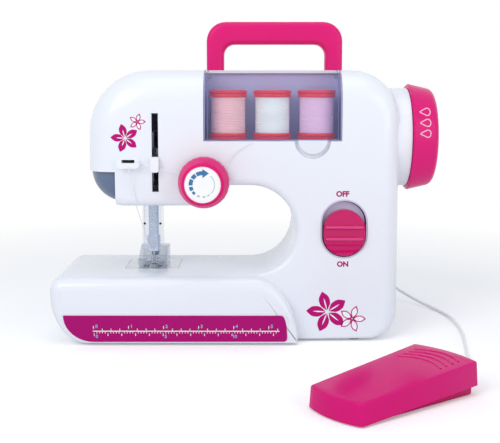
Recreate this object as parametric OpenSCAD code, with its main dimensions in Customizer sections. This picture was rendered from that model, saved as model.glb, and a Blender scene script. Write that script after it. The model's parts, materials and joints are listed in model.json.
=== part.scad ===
// Toy sewing machine with a foot pedal. Millimetres, +Z up, +X to the wheel, -Y to the user.
// The origin lies on the floor, under the middle of the machine, on its parting plane.

/* [Housing] */
// Left side of the needle head, from the middle
head_x = 99; // [95:1:104]
// Right side of the column, from the middle
column_x = 128; // [124:1:136]
// Left tip of the bed, from the middle
bed_x = 126; // [120:1:134]
// Height of the arm's top
arm_top = 198; // [196:1:206]
// Height of the arm's underside over the throat
arm_under = 115; // [112:1:118]
// Height of the needle head's underside
head_under = 100; // [98:1:103]
// Height of the bed's sewing surface
bed_top = 49.5; // [48:0.5:54]
// Height of the housing's underside over the floor
foot_h = 1.5; // [1:0.5:3]
// Front or rear face from the parting plane
half_depth = 44; // [44:1:50]
// Right end of the throat, from the middle
throat_x = 52.5; // [46:0.5:56]
// Wall of the moulded shells
wall = 2.2; // [1.8:0.1:2.6]

/* [Housing rounding] */
// Radius of the arm's upper left corner, seen from the front
top_left_r = 45; // [36:1:50]
// Radius of the column's upper right corner
top_right_r = 35; // [30:1:42]
// Radius of the column's lower right corner
base_right_r = 20; // [16:1:26]
// Radius of the head's lower left corner
head_low_r = 26; // [24:1:28]
// Rounding from the front or rear face into the top
edge_top = 22; // [18:1:24]
// Rounding from the front or rear face into the column's side
edge_side = 14; // [10:1:17]
// Rounding along the throat
edge_throat = 6; // [4:0.5:8]
// Rounding along the back of the bed
edge_bed = 7; // [4:0.5:9]
// Rounding along the underside
edge_base = 1.5; // [1:0.5:3]
// Length of the bed's bow
bow_len = 27; // [22:1:32]
// Height of the bow's tip
bow_z = 38; // [34:0.5:40]

/* [Bed cover and ruler] */
// How far the bed's front cover stands out
cover_d = 12; // [9:0.5:16]
// Right end of the cover at the floor
cover_x = 54; // [48:1:60]
// Wall of the cover
cover_wall = 2; // [1.6:0.1:2.4]
// Height of the ruler strip
ruler_h = 19.3; // [16:0.1:22]
// Left end of the ruler strip, from the middle
ruler_left = 115.4; // [108:0.2:117]
// Right end of the ruler strip, from the middle
ruler_right = 46.2; // [38:0.2:48]
// Thickness of the ruler strip
ruler_t = 0.6; // [0.4:0.1:1]

/* [Carry handle] */
// Left side of the handle, from the middle
handle_left = 13.3; // [8:0.1:20]
// Right side of the handle, from the middle
handle_right = 88.4; // [80:0.1:90]
// Height of the handle over the arm
handle_h = 36; // [30:1:46]
// Height of the grip bar
grip_h = 16.7; // [12:0.1:20]
// Width of a handle leg
leg_w = 13; // [10:0.5:16]
// Depth of the handle
handle_d = 16; // [12:1:20]
// Outer corner radius of the handle
handle_r = 14.4; // [10:0.2:18]

/* [Thread compartment] */
// Left end of the lid, from the middle
lid_left = 13.7; // [12:0.1:16]
// Right end of the lid, from the middle
lid_right = 85; // [82:0.5:86]
// Height of the lid
lid_h = 50.4; // [48:0.2:54]
// Wall of the clear lid
lid_t = 2; // [1.6:0.1:2.4]
// Radius of the lid's finger tab
tab_r = 11; // [8:0.5:13]
// Place of the finger tab, from the middle
tab_x = 64.4; // [56:0.2:68]
// Outside radius of a spool
spool_r = 14; // [11:0.5:14.5]
// Height of a spool
spool_h = 36; // [30:0.5:37]
// Thickness of a spool's end disc
spool_end = 2.6; // [2:0.1:3.5]
// Thickness of the wound thread
strand_d = 1.9; // [1.2:0.1:2]
// Loops of the outer layer of wound thread
strand_loops = 11; // [6:1:11]
// Radius of a spool peg
peg_r = 3; // [2:0.1:4]

/* [Wheel] */
// Height of the main shaft
shaft_z = 148; // [146:0.5:150]
// Radius of the main shaft
shaft_r = 3; // [2.5:0.1:3.5]
// Radius of the hand wheel
wheel_r = 40; // [36:0.5:44]
// Width of the hand wheel
wheel_w = 19.5; // [15:0.5:24]
// Radius of the white collar behind the wheel
collar_r = 37; // [35:0.5:38.5]
// How far the collar stands out of the column
collar_out = 9; // [6:0.5:14]

/* [Front controls] */
// Place of the tension knob, from the middle
knob_x = 13.8; // [11:0.2:16]
// Height of the tension knob's axis over the arm's underside
knob_rise = 3; // [1:0.5:6]
// Radius of the tension knob at its back
knob_r = 18.5; // [15:0.5:20]
// Radius of the tension knob at its front
knob_front_r = 14.8; // [13.5:0.1:15]
// Length of the tension knob
knob_len = 19; // [14:0.5:24]
// Radius of the dial in the knob's face
dial_r = 12.8; // [10:0.1:13]
// Place of the take up slot, from the middle
slot_x = 48.9; // [47.5:0.1:49.5]
// Width of the take up slot
slot_w = 4.7; // [4.4:0.1:6]
// Place of the thread guide, from the middle
guide_x = 67.8; // [64:0.2:70]
// Height of the thread guide
guide_z = 131.6; // [129:0.2:138]
// Width of the thread guide
guide_w = 16.6; // [14:0.2:18]
// Height of the thread guide's loop
guide_h = 7.6; // [6.4:0.2:9]
// Place of the switch, from the middle
switch_x = 87.6; // [82:0.2:90]
// Height of the switch's middle
switch_z = 83.5; // [78:0.5:88]
// Width of the switch recess
switch_w = 32; // [26:0.5:34]
// Height of the switch recess
switch_h = 41; // [39:0.5:46]
// Height of the switch's button
button_h = 34; // [30:0.5:36]

/* [Sewing parts] */
// Place of the needle bar, from the middle
needle_x = 55; // [54.5:0.1:55.5]
// Radius of the needle bar
bar_r = 4; // [3:0.1:4.2]
// Throw of the needle crank
crank_r = 13; // [10:0.5:13.5]
// Radius of the needle
needle_r = 0.8; // [0.5:0.1:1]
// Radius of the presser bar
presser_r = 3; // [2.4:0.1:3.2]
// Width of the presser foot
shoe_w = 22; // [18:0.5:26]
// Height of the presser foot's cheeks
shoe_h = 13; // [12:0.5:17]
// Width of the clear finger guard
guard_w = 15.4; // [13.4:0.1:16]
// Length of the clear finger guard
guard_h = 38; // [30:0.5:40]
// Lift of the presser foot
presser_lift = 6; // [4:0.5:8]

/* [Drive] */
// Tooth module of the gears
gear_m = 0.8; // [0.8:0.05:0.85]
// Teeth on the shaft's gear
main_teeth = 48; // [48:12:48]
// Teeth on the idler's large wheel
idler_teeth = 36; // [36:12:36]
// Teeth on a pinion
pinion_teeth = 12; // [12:12:12]
// Width of a gear's teeth
gear_w = 4; // [3:0.1:4.5]
// Height of the lower shaft
lower_z = 32; // [31:0.5:34]
// Radius of the belt's pulleys
pulley_r = 9; // [7:0.5:10]
// Thickness of the belt
belt_t = 1.5; // [1:0.1:1.8]
// Radius of the motor
motor_r = 10; // [8:0.5:10.5]
// Length of the motor
motor_len = 25; // [20:0.5:30]
// Radius of a battery cell
cell_r = 7.1; // [6:0.1:7.3]
// Length of a battery cell
cell_len = 50; // [44:0.5:51]

/* [Pedal] */
// Length of the pedal
pedal_len = 102; // [94:1:110]
// Width of the pedal at its front end
pedal_front_w = 43; // [38:1:48]
// Width of the pedal at its rear end
pedal_rear_w = 51; // [46:1:56]
// Height of the treadle at its front end
treadle_front_h = 13.5; // [12:0.5:16]
// Height of the treadle at its rear end
treadle_rear_h = 21.5; // [20:0.5:26]
// Wall of the treadle
treadle_wall = 2; // [1.6:0.1:2.4]
// Diameter of the pedal's cord
cord_d = 2.4; // [2:0.1:2.8]

/* [Hidden] */
$fn = 64;
// Gap at a running shaft, at a fixed seat, and around what moves
run_fit = 0.05;
seat_gap = 0.2;
move_gap = 0.4;

white = "whitesmoke";
pink = "hotpink";
steel = "silver";
grey = "slategray";

// Shared shapes

module box(low, high) translate(low) cube(high - low);

module along_x(x0, x1, r, y, z) translate([x0, y, z]) rotate([0, 90, 0]) cylinder(h = x1 - x0, r = r);

module along_y(y0, y1, r, x, z) translate([x, y0, z]) rotate([-90, 0, 0]) cylinder(h = y1 - y0, r = r);

module along_z(z0, z1, r, x, y) translate([x, y, z0]) cylinder(h = z1 - z0, r = r);

// A front outline, in X and Z, as a plate from y0 to y1
module front_plate(y0, y1) translate([0, y1, 0]) rotate([90, 0, 0]) linear_extrude(y1 - y0) children();

// A side outline, in Y and Z, as a plate from x0 to x1
module side_plate(x0, x1) translate([x0, 0, 0]) rotate([90, 0, 90]) linear_extrude(x1 - x0) children();

// An upright slot with round ends, around the middle of a front outline
module upright_slot(w, h, x, z) translate([x, z]) {
    square([w, h - w], center = true);
    for (s = [-1, 1]) translate([0, s * (h - w) / 2]) circle(d = w);
}

// Steps along a line and along an elliptic arc, each without its first point
function line_to(a, b, n) = [for (i = [1:n]) a + (b - a) * i / n];
function arc_to(c, rx, rz, a0, a1, n) =
    [for (i = [1:n]) let (a = a0 + (a1 - a0) * i / n) [c[0] + rx * cos(a), c[1] + rz * sin(a)]];
function ramp_to(a, b, n) = [for (i = [1:n]) a + (b - a) * i / n];
function backwards(p) = [for (i = [len(p) - 1:-1:0]) p[i]];

// Normals of a path: side 1 is on the right of its way, side -1 on the left
function normals(p, side) = [for (i = [0:len(p) - 1])
    let (a = p[max(i - 1, 0)], b = p[min(i + 1, len(p) - 1)], t = (b - a) / norm(b - a))
    side * [t[1], -t[0]]];

// A closed skin over rings of equally many points. Each end cap pairs a ring's first half with its second.
module skin(rings) {
    n = len(rings[0]);
    m = len(rings);
    last = (m - 1) * n;
    sides = [for (k = [0:m - 2], i = [0:n - 1]) let (a = k * n + i, b = k * n + (i + 1) % n)
        each [[a, a + n, b + n], [a, b + n, b]]];
    first_cap = [for (j = [0:n / 2 - 2]) each [[j, j + 1, n - 2 - j], [j, n - 2 - j, n - 1 - j]]];
    last_cap = [for (j = [0:n / 2 - 2]) let (a = last + j, b = last + n - 1 - j)
        each [[a, b, b - 1], [a, b - 1, a + 1]]];
    polyhedron(points = [for (r = rings) each r], faces = concat(first_cap, sides, last_cap));
}

// A ring of a moulded half shell, rounded by radius r[i] into its front face at depth d
function edge_ring(p, n, r, d, inset, t) = [for (i = [0:len(p) - 1])
    let (q = p[i] - n[i] * (inset + r[i] * (1 - cos(t)))) [q[0], r[i] - d - r[i] * sin(t), q[1]]];
function flat_ring(p, n, inset, y) = [for (i = [0:len(p) - 1]) let (q = p[i] - n[i] * inset) [q[0], y, q[1]]];

// A half shell, open at Y 0 and closed at Y -d, between an outer and an inner path
module half_shell(outer, inner, outer_r, inner_r, d, t) {
    p = concat(outer, backwards(inner));
    n = concat(normals(outer, 1), backwards(normals(inner, -1)));
    r = concat(outer_r, backwards(inner_r));
    hollow_r = [for (x = r) max(x - t, 0.6)];
    skin(concat(
        [for (a = [90:-22.5:0]) edge_ring(p, n, hollow_r, d - t, t, a)],
        [flat_ring(p, n, t, 0), flat_ring(p, n, 0, 0)],
        [for (a = [0:15:90]) edge_ring(p, n, r, d, 0, a)]
    ));
}

// Rings of a tube around a route, each ring square to the route
function tube_rings(route, r, sides) = [for (i = [0:len(route) - 1])
    let (a = route[max(i - 1, 0)], b = route[min(i + 1, len(route) - 1)], t = (b - a) / norm(b - a),
        u0 = cross(t, [0, 0, 1]), u = u0 / norm(u0), v = cross(u, t))
    [for (k = [0:sides - 1]) let (w = -360 * k / sides) route[i] + r * (u * cos(w) + v * sin(w))]];

// Smooth route through hand chosen points, with steps between each two
function route_point(p, i, t) =
    let (n = len(p), a = p[max(i - 1, 0)], b = p[i], c = p[min(i + 1, n - 1)], d = p[min(i + 2, n - 1)])
    0.5 * (2 * b + (c - a) * t + (2 * a - 5 * b + 4 * c - d) * t * t + (3 * b - a - 3 * c + d) * t * t * t);
function smooth_route(p, steps) =
    [for (i = [0:len(p) - 2], k = [0:steps - 1]) route_point(p, i, k / steps), p[len(p) - 1]];

// The housing's outline. Outer and inner paths run side by side from the bed's tip to the needle head.

throat_r = (arm_under - bed_top) / 2;
throat_c = [throat_x - throat_r, (arm_under + bed_top) / 2];
bow_top_r = 10;
tip_half = 1.5;
bow_c = [bow_len - bed_x, bow_z - tip_half];
bow_top_c = [bow_top_r - bed_x, bed_top - bow_top_r];
base_right_c = [column_x - base_right_r, foot_h + base_right_r];
top_right_c = [column_x - top_right_r, arm_top - top_right_r];
top_left_c = [top_left_r - head_x, arm_top - top_left_r];
head_low_c = [head_low_r - head_x, head_under + head_low_r];
head_step = [-24, head_under];
head_step_w = 30;
plate_end = 62;

outer_path = concat(
    [[-bed_x, bow_c[1]]],
    arc_to(bow_c, bow_len, bow_c[1] - foot_h, 180, 270, 8),
    line_to([bow_c[0], foot_h], [60, foot_h], 2),
    [[base_right_c[0], foot_h]],
    arc_to(base_right_c, base_right_r, base_right_r, -90, 0, 5),
    line_to([column_x, base_right_c[1]], [column_x, top_right_c[1]], 4),
    arc_to(top_right_c, top_right_r, top_right_r, 0, 90, 8),
    line_to([top_right_c[0], arm_top], [top_left_c[0], arm_top], 8),
    arc_to(top_left_c, top_left_r, top_left_r, 90, 180, 8),
    [[-head_x, head_low_c[1]]],
    arc_to(head_low_c, head_low_r, head_low_r, 180, 270, 7)
);
inner_path = concat(
    [[-bed_x, bow_top_c[1]]],
    arc_to(bow_top_c, bow_top_r, bow_top_r, 180, 90, 8),
    line_to([bow_top_c[0], bed_top], [throat_c[0], bed_top], 2),
    arc_to(throat_c, throat_r, throat_r, -90, -30, 6),
    arc_to(throat_c, throat_r, throat_r, -30, 30, 4),
    arc_to(throat_c, throat_r, throat_r, 30, 90, 8),
    [[head_step[0] + head_step_w, arm_under]],
    [for (i = [1:7]) [head_step[0] + head_step_w * (1 - i / 7),
        arm_under - (arm_under - head_under) * (1 - cos(180 * i / 7)) / 2]],
    line_to(head_step, [-needle_x, head_under], 8),
    line_to([-needle_x, head_under], [-plate_end, head_under], 8)
);
function outer_edges(bed_r) = concat(
    [bed_r], ramp_to(bed_r, edge_base, 8), ramp_to(edge_base, edge_base, 2), ramp_to(edge_base, edge_side, 6),
    ramp_to(edge_side, edge_side, 4), ramp_to(edge_side, edge_top, 8), ramp_to(edge_top, edge_top, 16),
    ramp_to(edge_top, edge_throat, 8)
);
function inner_edges(bed_r) = concat(
    [bed_r], ramp_to(bed_r, bed_r, 10), ramp_to(bed_r, edge_throat, 6), ramp_to(edge_throat, edge_throat, 36)
);
flush_edge = 0.8;

// Places that several pieces share

front_y = -half_depth;
inside_y = half_depth - wall;
lid_low = arm_top - lid_h;
knob_z = arm_under + knob_rise;
lid_back = front_y * 7 / 22;
lid_pivot = [lid_back - 7, arm_top - 5];
lid_round_c = [edge_top - half_depth, arm_top - edge_top];
tray_back = front_y * 2 / 11;
tray_wall = 1.6;
tray_floor = lid_low - 0.5;
tray_front = move_gap - inside_y;
spool_y = (tray_front + tray_back - tray_wall) / 2;
spool_xs = [for (i = [-1:1]) (lid_right - lid_left) / 2 + i * (spool_r * 2 + 4.4)];
spool_z = tray_floor + move_gap;
bush_x = -36;
crank_x = -42.5;
crank_w = 3;
crank_hub_r = shaft_r + 3;
pin_r = 2.5;
yoke_x = crank_x - crank_w - 2.1;
yoke_w = 3;
yoke_h = 10;
yoke_y = crank_r + 6;
crank_pin_z = shaft_z - crank_r;
lever_z = crank_pin_z - 4.4;
needle_up = 2 * crank_r;
presser_y = 10;
shoe_low = bed_top + 0.5;
sole_h = 4;
clamp_low = shoe_low + sole_h + presser_lift + move_gap;
clamp_r = 5;
clamp_h = 12;
frame_a = 86;
frame_t = 2.5;
plane_1 = 92;
plane_2 = plane_1 + gear_w + 2;
frame_b = plane_2 + gear_w + 2.5;
idler_z = shaft_z - gear_m * (main_teeth + pinion_teeth) / 2;
motor_turn = -38.66;
motor_gap = gear_m * (idler_teeth + pinion_teeth) / 2;
motor_y = motor_gap * cos(motor_turn);
motor_z = idler_z + motor_gap * sin(motor_turn);
idler_pin_r = 2;
motor_shaft_r = 1;
belt_x = 112;
belt_w = 4;
wheel_x = column_x + collar_out + 0.5;
collar_in = 110;
collar_wall = 2.2;
lamp_x = 78;
lamp_z = head_low_c[1] - 1;
cell_rows = [for (i = [1, 0]) inside_y - cell_r - 3.4 - i * (2 * cell_r + 0.8)];
cell_x0 = -58;
cell_gap = 2;
cell_z = foot_h + wall + cell_r + 0.1;
bay_x = [cell_x0 - 4, cell_x0 + 2 * cell_len + cell_gap + 4];
bay_y = [cell_rows[0] - cell_r - 1.6, cell_rows[1] + cell_r + 1.6];
lower_r = 2.5;
plate_half = [20, 19];
plate_t = wall;
screw_spots = [[-74, 150], [-30, 172], [88, 170], [112, 62], [-100, 20], [60, 26]];
lifter_z = 122;
jack_x = 112;
jack_z = 40;
jack_r = 5;
tenon_half = 4.5;
tenon_d = 5;
tenon_h = 8;
stud_r = 3;
bezel_wall = 0.8;
bezel_seat = bezel_wall + seat_gap;
slot_low = lever_z - 20;
slot_high = lever_z + needle_up + 10.6;
guide_pin_r = 2.5;
lifter_r = 3;
screw_r = 1.5;
screw_head_r = 3;
screw_sink = 1;
button_gap = 0.9;
button_travel = switch_h - button_h - 2 * button_gap;

module housing_cuts_shared() {
    // Round seat for the wheel's collar, the main shaft's way and the carry handle's two tenons
    along_x(collar_in, column_x + 5, collar_r + seat_gap, 0, shaft_z);
    for (x = [leg_w / 2 - handle_left, handle_right - leg_w / 2])
        box([x - tenon_half - seat_gap, -tenon_d - seat_gap, arm_top - tenon_h],
            [x + tenon_half + seat_gap, tenon_d + seat_gap, arm_top + 1]);
    // Way of the needle bar out of the head, and the needle plate's seat in the bed
    along_z(head_under - 1, head_under + wall + 1, bar_r + 1.2, -needle_x, 0);
    box([-needle_x - plate_half[0] - seat_gap, -plate_half[1] - seat_gap, bed_top - wall - 1],
        [-needle_x + plate_half[0] + seat_gap, plate_half[1] + seat_gap, bed_top + 1]);
}

module front_shell() color(white) difference() {
    half_shell(outer_path, inner_path, outer_edges(flush_edge), inner_edges(flush_edge), half_depth, wall);
    housing_cuts_shared();
    // Thread compartment, with the finger tab's scoop
    box([-lid_left - move_gap, front_y - 1, lid_low - move_gap],
        [lid_right + move_gap, lid_back + 4 * move_gap, arm_top + 1]);
    along_y(front_y - 1, -inside_y + 1, tab_r + 2, tab_x, lid_low);
    // Take up slot
    front_plate(front_y - 1, -inside_y + 1)
        translate([-slot_x - slot_w / 2, slot_low]) square([slot_w, slot_high - slot_low]);
    // Lamp notch at the head's lower left
    box([-head_x - 1, front_y - 1, head_under - 1], [-lamp_x, 1, lamp_z]);
    // Tension stud, thread guide and switch
    along_y(front_y - 1, -inside_y + 1, stud_r + seat_gap, -knob_x, knob_z);
    along_y(front_y - 1, -inside_y + 1, guide_pin_r + seat_gap, -guide_x, guide_z);
    front_plate(front_y - 1, -inside_y + 1)
        upright_slot(switch_w + 2 * bezel_seat, switch_h + 2 * bezel_seat, switch_x, switch_z);
}

module rear_shell() color(white) difference() {
    mirror([0, 1, 0])
        half_shell(outer_path, inner_path, outer_edges(edge_bed), inner_edges(edge_bed), half_depth, wall);
    housing_cuts_shared();
    // Way of the presser bar, of the presser lifter's shaft and of the pedal's jack
    along_z(head_under - 1, head_under + wall + 1, presser_r + 0.8, -needle_x, presser_y);
    along_y(inside_y - 1, half_depth + 1, lifter_r + run_fit, -needle_x, lifter_z);
    along_y(inside_y - 1, half_depth + 1, jack_r + seat_gap, jack_x, jack_z);
    // Battery bay's mouth in the underside
    box([bay_x[0], bay_y[0], foot_h - 1], [bay_x[1], bay_y[1], foot_h + wall + 1]);
    for (s = screw_spots) {
        along_y(inside_y - 1, half_depth + 1, screw_r + seat_gap, s[0], s[1]);
        along_y(half_depth - screw_sink, half_depth + 1, screw_head_r + seat_gap, s[0], s[1]);
    }
}

module shell_screws() color(steel) for (s = screw_spots) {
    along_y(half_depth - 14, half_depth - screw_sink, screw_r, s[0], s[1]);
    difference() {
        along_y(half_depth - screw_sink, half_depth + 0.4, screw_head_r, s[0], s[1]);
        for (a = [0, 90]) translate([s[0], half_depth, s[1]]) rotate([0, a, 0])
            cube([4, 1, 0.8], center = true);
    }
}

// Bed cover and ruler

cover_arc_c = [cover_x - 37, foot_h];
cover_arc_r = [37, bed_top - foot_h + 1.2];
cover_arc_top = asin((bed_top - foot_h) / cover_arc_r[1]);
cover_outer = concat(
    [[-bed_x, bow_c[1]]],
    arc_to(bow_c, bow_len, bow_c[1] - foot_h, 180, 270, 8),
    line_to([bow_c[0], foot_h], [cover_x, foot_h], 4),
    arc_to(cover_arc_c, cover_arc_r[0], cover_arc_r[1], 0, 24, 6)
);
cover_inner = concat(
    [[-bed_x, bow_top_c[1]]],
    arc_to(bow_top_c, bow_top_r, bow_top_r, 180, 90, 8),
    line_to([bow_top_c[0], bed_top], [cover_arc_c[0] + cover_arc_r[0] * cos(cover_arc_top), bed_top], 4),
    arc_to(cover_arc_c, cover_arc_r[0], cover_arc_r[1], cover_arc_top, 28, 6)
);
cover_edge = min(cover_d - 1, bow_top_r - 1);
cover_side_edge = 5;
cover_outer_edges = concat([cover_edge], ramp_to(cover_edge, edge_base, 8), ramp_to(edge_base, edge_base, 4),
    ramp_to(edge_base, cover_side_edge, 6));
cover_inner_edges = concat([cover_edge], ramp_to(cover_edge, cover_edge, 12),
    ramp_to(cover_edge, cover_side_edge, 6));
cover_front = front_y - cover_d;
ruler_low = foot_h + edge_base;

// The strip follows the bow on its left and leans a little on its right
module ruler_outline() {
    low = ruler_low;
    high = ruler_low + ruler_h;
    left = -ruler_left;
    right = ruler_right;
    curve = 22;
    lean = 4;
    polygon(concat(
        [[left, high]],
        arc_to([left + curve, high], curve, high - low, 180, 270, 10),
        arc_to([right - 3, low + 3], 3, 3, -90, 0, 4),
        arc_to([right - lean, low + 3], lean, high - low - 3, 15, 90, 6)
    ));
}

module bed_cover() color(white) translate([0, front_y, 0])
    half_shell(cover_outer, cover_inner, cover_outer_edges, cover_inner_edges, cover_d, cover_wall);

module ruler_strip() color("mediumvioletred") front_plate(cover_front - ruler_t, cover_front) ruler_outline();

// Underside

rubber_r = 6;

module battery_door() color(white) difference() {
    mid_y = (bay_y[0] + bay_y[1]) / 2;
    box([bay_x[0] + seat_gap, bay_y[0] + seat_gap, foot_h],
        [bay_x[1] - seat_gap, bay_y[1] - seat_gap, foot_h + wall]);
    // Grip lines
    for (i = [0:4]) translate([bay_x[0] + 8 + 3 * i, 0, 0])
        box([0, mid_y - 8, foot_h - 1], [1.2, mid_y + 8, foot_h + 0.7]);
}

module rubber_feet() color("dimgray") {
    for (x = [-bed_x + bow_len + 12, column_x - base_right_r - 12], y = [-1, 1])
        along_z(0, foot_h, rubber_r, x, y * (half_depth - 12));
    // The fifth foot carries the middle and holds the origin, beside the battery door
    along_z(0, foot_h, rubber_r, 0, bay_y[0] - rubber_r - 2);
}

module batteries() color("gold") for (y = cell_rows, i = [0, 1]) {
    x = cell_x0 + i * (cell_len + cell_gap);
    along_x(x, x + cell_len - 1.2, cell_r, y, cell_z);
    along_x(x + cell_len - 1.2, x + cell_len, 2.6, y, cell_z);
}

// Carry handle: one closed bar with rounded edges, on two tenons

handle_top = arm_top + handle_h;
handle_in_r = 8;
handle_edge = 4;
handle_outer = concat(
    [[handle_right, arm_top]],
    [[handle_right, handle_top - handle_r]],
    arc_to([handle_right - handle_r, handle_top - handle_r], handle_r, handle_r, 0, 90, 7),
    [[handle_r - handle_left, handle_top]],
    arc_to([handle_r - handle_left, handle_top - handle_r], handle_r, handle_r, 90, 180, 7),
    [[-handle_left, arm_top]]
);
handle_in_x = [leg_w - handle_left, handle_right - leg_w];
handle_in_z = handle_top - grip_h;
handle_in_cz = handle_in_z - handle_in_r;
handle_inner = concat(
    [[handle_in_x[1], arm_top]],
    [[handle_in_x[1], handle_in_cz]],
    arc_to([handle_in_x[1] - handle_in_r, handle_in_cz], handle_in_r, handle_in_r, 0, 90, 7),
    [[handle_in_x[0] + handle_in_r, handle_in_z]],
    arc_to([handle_in_x[0] + handle_in_r, handle_in_cz], handle_in_r, handle_in_r, 90, 180, 7),
    [[handle_in_x[0], arm_top]]
);

module carry_handle() color(pink) {
    p = concat(handle_outer, backwards(handle_inner));
    n = concat(normals(handle_outer, 1), backwards(normals(handle_inner, -1)));
    r = [for (i = p) handle_edge];
    front = [for (a = [0:22.5:90]) edge_ring(p, n, r, handle_d / 2, 0, a)];
    back = [for (q = backwards(front)) [for (v = q) [v[0], -v[1], v[2]]]];
    skin(concat(back, front));
    for (x = [leg_w / 2 - handle_left, handle_right - leg_w / 2])
        box([x - tenon_half, -tenon_d, arm_top - tenon_h + seat_gap], [x + tenon_half, tenon_d, arm_top + 3]);
}

// Thread compartment

tray_gap = 0.9;
tray_ends = [-lid_left - tray_gap - tray_wall, lid_right + tray_gap];
tray_low = tray_floor - tray_wall;
lid_pin_r = 1.5;
lid_ear_t = 2;
lid_ear_r = 3.6;

// Side outline of what lies under the rounded arm, moved inwards by inset
module lid_side(inset, back, low) polygon(concat(
    [[back, low], [back, arm_top - inset]],
    arc_to(lid_round_c, edge_top - inset, edge_top - inset, 90, 180, 12),
    [[front_y + inset, low]]
));

module thread_tray() color("gainsboro") difference() {
    union() {
        // Floor and back wall
        box([tray_ends[0], tray_front, tray_low], [tray_ends[1] + tray_wall, tray_back, tray_floor]);
        box([tray_ends[0], tray_back - tray_wall, tray_low],
            [tray_ends[1] + tray_wall, tray_back, arm_top - wall - move_gap]);
        // Two ends that follow the rounded arm
        for (x = tray_ends) side_plate(x, x + tray_wall)
            lid_side(wall + move_gap + seat_gap, tray_back, tray_low);
        // Backing of the finger scoop
        box([tab_x - tab_r - 3, tray_front, lid_low - tab_r - 3],
            [tab_x + tab_r + 3, tray_front + tray_wall, tray_floor]);
        for (x = spool_xs) along_z(tray_low, spool_z + spool_h - 6, peg_r, x, spool_y);
    }
    along_x(tray_ends[0] - 1, tray_ends[1] + tray_wall + 1, lid_pin_r + run_fit, lid_pivot[0], lid_pivot[1]);
}

module thread_lid() color("lavender", 0.4) {
    difference() {
        side_plate(-lid_left, lid_right) lid_side(0, lid_back, lid_low);
        side_plate(-lid_left - 1, lid_right + 1) lid_side(lid_t, lid_back + 1, lid_low - 1);
    }
    // Finger tab
    intersection() {
        along_y(front_y, front_y + lid_t, tab_r, tab_x, lid_low + 1);
        box([tab_x - tab_r - 1, front_y - 1, lid_low - tab_r - 1], [tab_x + tab_r + 1, 0, lid_low + 1]);
    }
    // Pivot ears, each with a pin into the tray's end
    for (x = [-lid_left, lid_right - lid_ear_t])
        along_x(x, x + lid_ear_t, lid_ear_r, lid_pivot[0], lid_pivot[1]);
    along_x(tray_ends[0], lid_ear_t - lid_left, lid_pin_r, lid_pivot[0], lid_pivot[1]);
    along_x(lid_right - lid_ear_t, tray_ends[1] + tray_wall, lid_pin_r, lid_pivot[0], lid_pivot[1]);
}

wound_r = spool_r - 3.2;
strand_pitch = (spool_h - 2 * spool_end - strand_d - 1) / strand_loops;
strand_steps = 16;
strand_path_r = wound_r + strand_d / 2 + 0.3;
strand_start = spool_end + 0.5 + strand_d / 2;
strand_route = [for (k = [0:strand_loops * strand_steps]) let (a = 360 * k / strand_steps)
    [strand_path_r * cos(a), strand_path_r * sin(a), strand_start + strand_pitch * k / strand_steps]];
echo(least_gap_between_loops = min([for (i = [0:len(strand_route) - 1 - strand_steps])
    norm(strand_route[i + strand_steps] - strand_route[i])]) - strand_d);

module spool(i) color("crimson") translate([spool_xs[i], spool_y, spool_z]) difference() {
    rotate_extrude() polygon([
        [0, 0], [spool_r - 0.8, 0], [spool_r, 0.8], [spool_r, spool_end - 0.6], [spool_r - 0.8, spool_end],
        [wound_r - 3, spool_end + 0.4], [wound_r - 3, spool_h - spool_end - 0.4],
        [spool_r - 0.8, spool_h - spool_end],
        [spool_r, spool_h - spool_end + 0.6], [spool_r, spool_h - 0.8], [spool_r - 0.8, spool_h], [0, spool_h]
    ]);
    translate([0, 0, -1]) cylinder(h = spool_h + 2, r = peg_r + run_fit);
}

// Wound thread: a plain core with one unbroken outer layer around it
module wound_thread(i, tint) color(tint) translate([spool_xs[i], spool_y, spool_z]) {
    difference() {
        translate([0, 0, spool_end + 0.5]) cylinder(h = spool_h - 2 * spool_end - 1, r = wound_r);
        cylinder(h = spool_h, r = wound_r - 3 + run_fit);
    }
    skin([for (k = [0:len(strand_route) - 1]) let (a = 360 * k / strand_steps)
        [for (s = [0:60:300]) let (out = strand_d / 2 * cos(s))
            strand_route[k] + [out * cos(a), out * sin(a), -strand_d / 2 * sin(s)]]]);
}

module spool_left() spool(0);
module spool_middle() spool(1);
module spool_right() spool(2);
module thread_left() wound_thread(0, "pink");
module thread_middle() wound_thread(1, "azure");
module thread_right() wound_thread(2, "plum");

// Lamp behind the notch of the head

lamp_edge = 17;
lamp_out = head_low_r - 1.5;
lamp_depth = half_depth - 3.5;
led_r = 2.5;
led_x = lamp_x + 7;
led_y = -20;

module lamp_lens() color("lightslategray") difference() {
    intersection() {
        box([-head_x, -half_depth, head_under], [-lamp_x - seat_gap, -seat_gap, lamp_z - seat_gap]);
        translate([head_low_c[0], 0, head_low_c[1]]) rotate([90, 0, 0]) rotate_extrude() polygon(concat(
            [[0, 0], [lamp_out, 0]],
            arc_to([lamp_out - lamp_edge, lamp_depth - lamp_edge], lamp_edge, lamp_edge, 0, 90, 10),
            [[0, lamp_depth]]
        ));
    }
    along_z(lamp_z - 9, lamp_z + 1, led_r + seat_gap, -led_x, led_y);
}

module lamp_led() color("ivory") {
    along_z(lamp_z - 5, lamp_z + 3, led_r, -led_x, led_y);
    translate([-led_x, led_y, lamp_z - 5]) sphere(led_r);
}

// Front controls

guide_out = 5;

module thread_guide() color(white) difference() {
    union() {
        front_plate(front_y - guide_out, front_y) translate([-guide_x, guide_z]) {
            square([guide_w - guide_h, guide_h], center = true);
            for (s = [-1, 1]) translate([s * (guide_w - guide_h) / 2, 0]) circle(d = guide_h);
        }
        along_y(front_y - 1, -inside_y + 4, guide_pin_r, -guide_x, guide_z);
    }
    box([-guide_x - guide_w / 2 + 3.6, front_y - guide_out - 1, guide_z + 0.2],
        [-guide_x + guide_w / 2 - 3.6, front_y - 1.5, guide_z + 2.6]);
}

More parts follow.
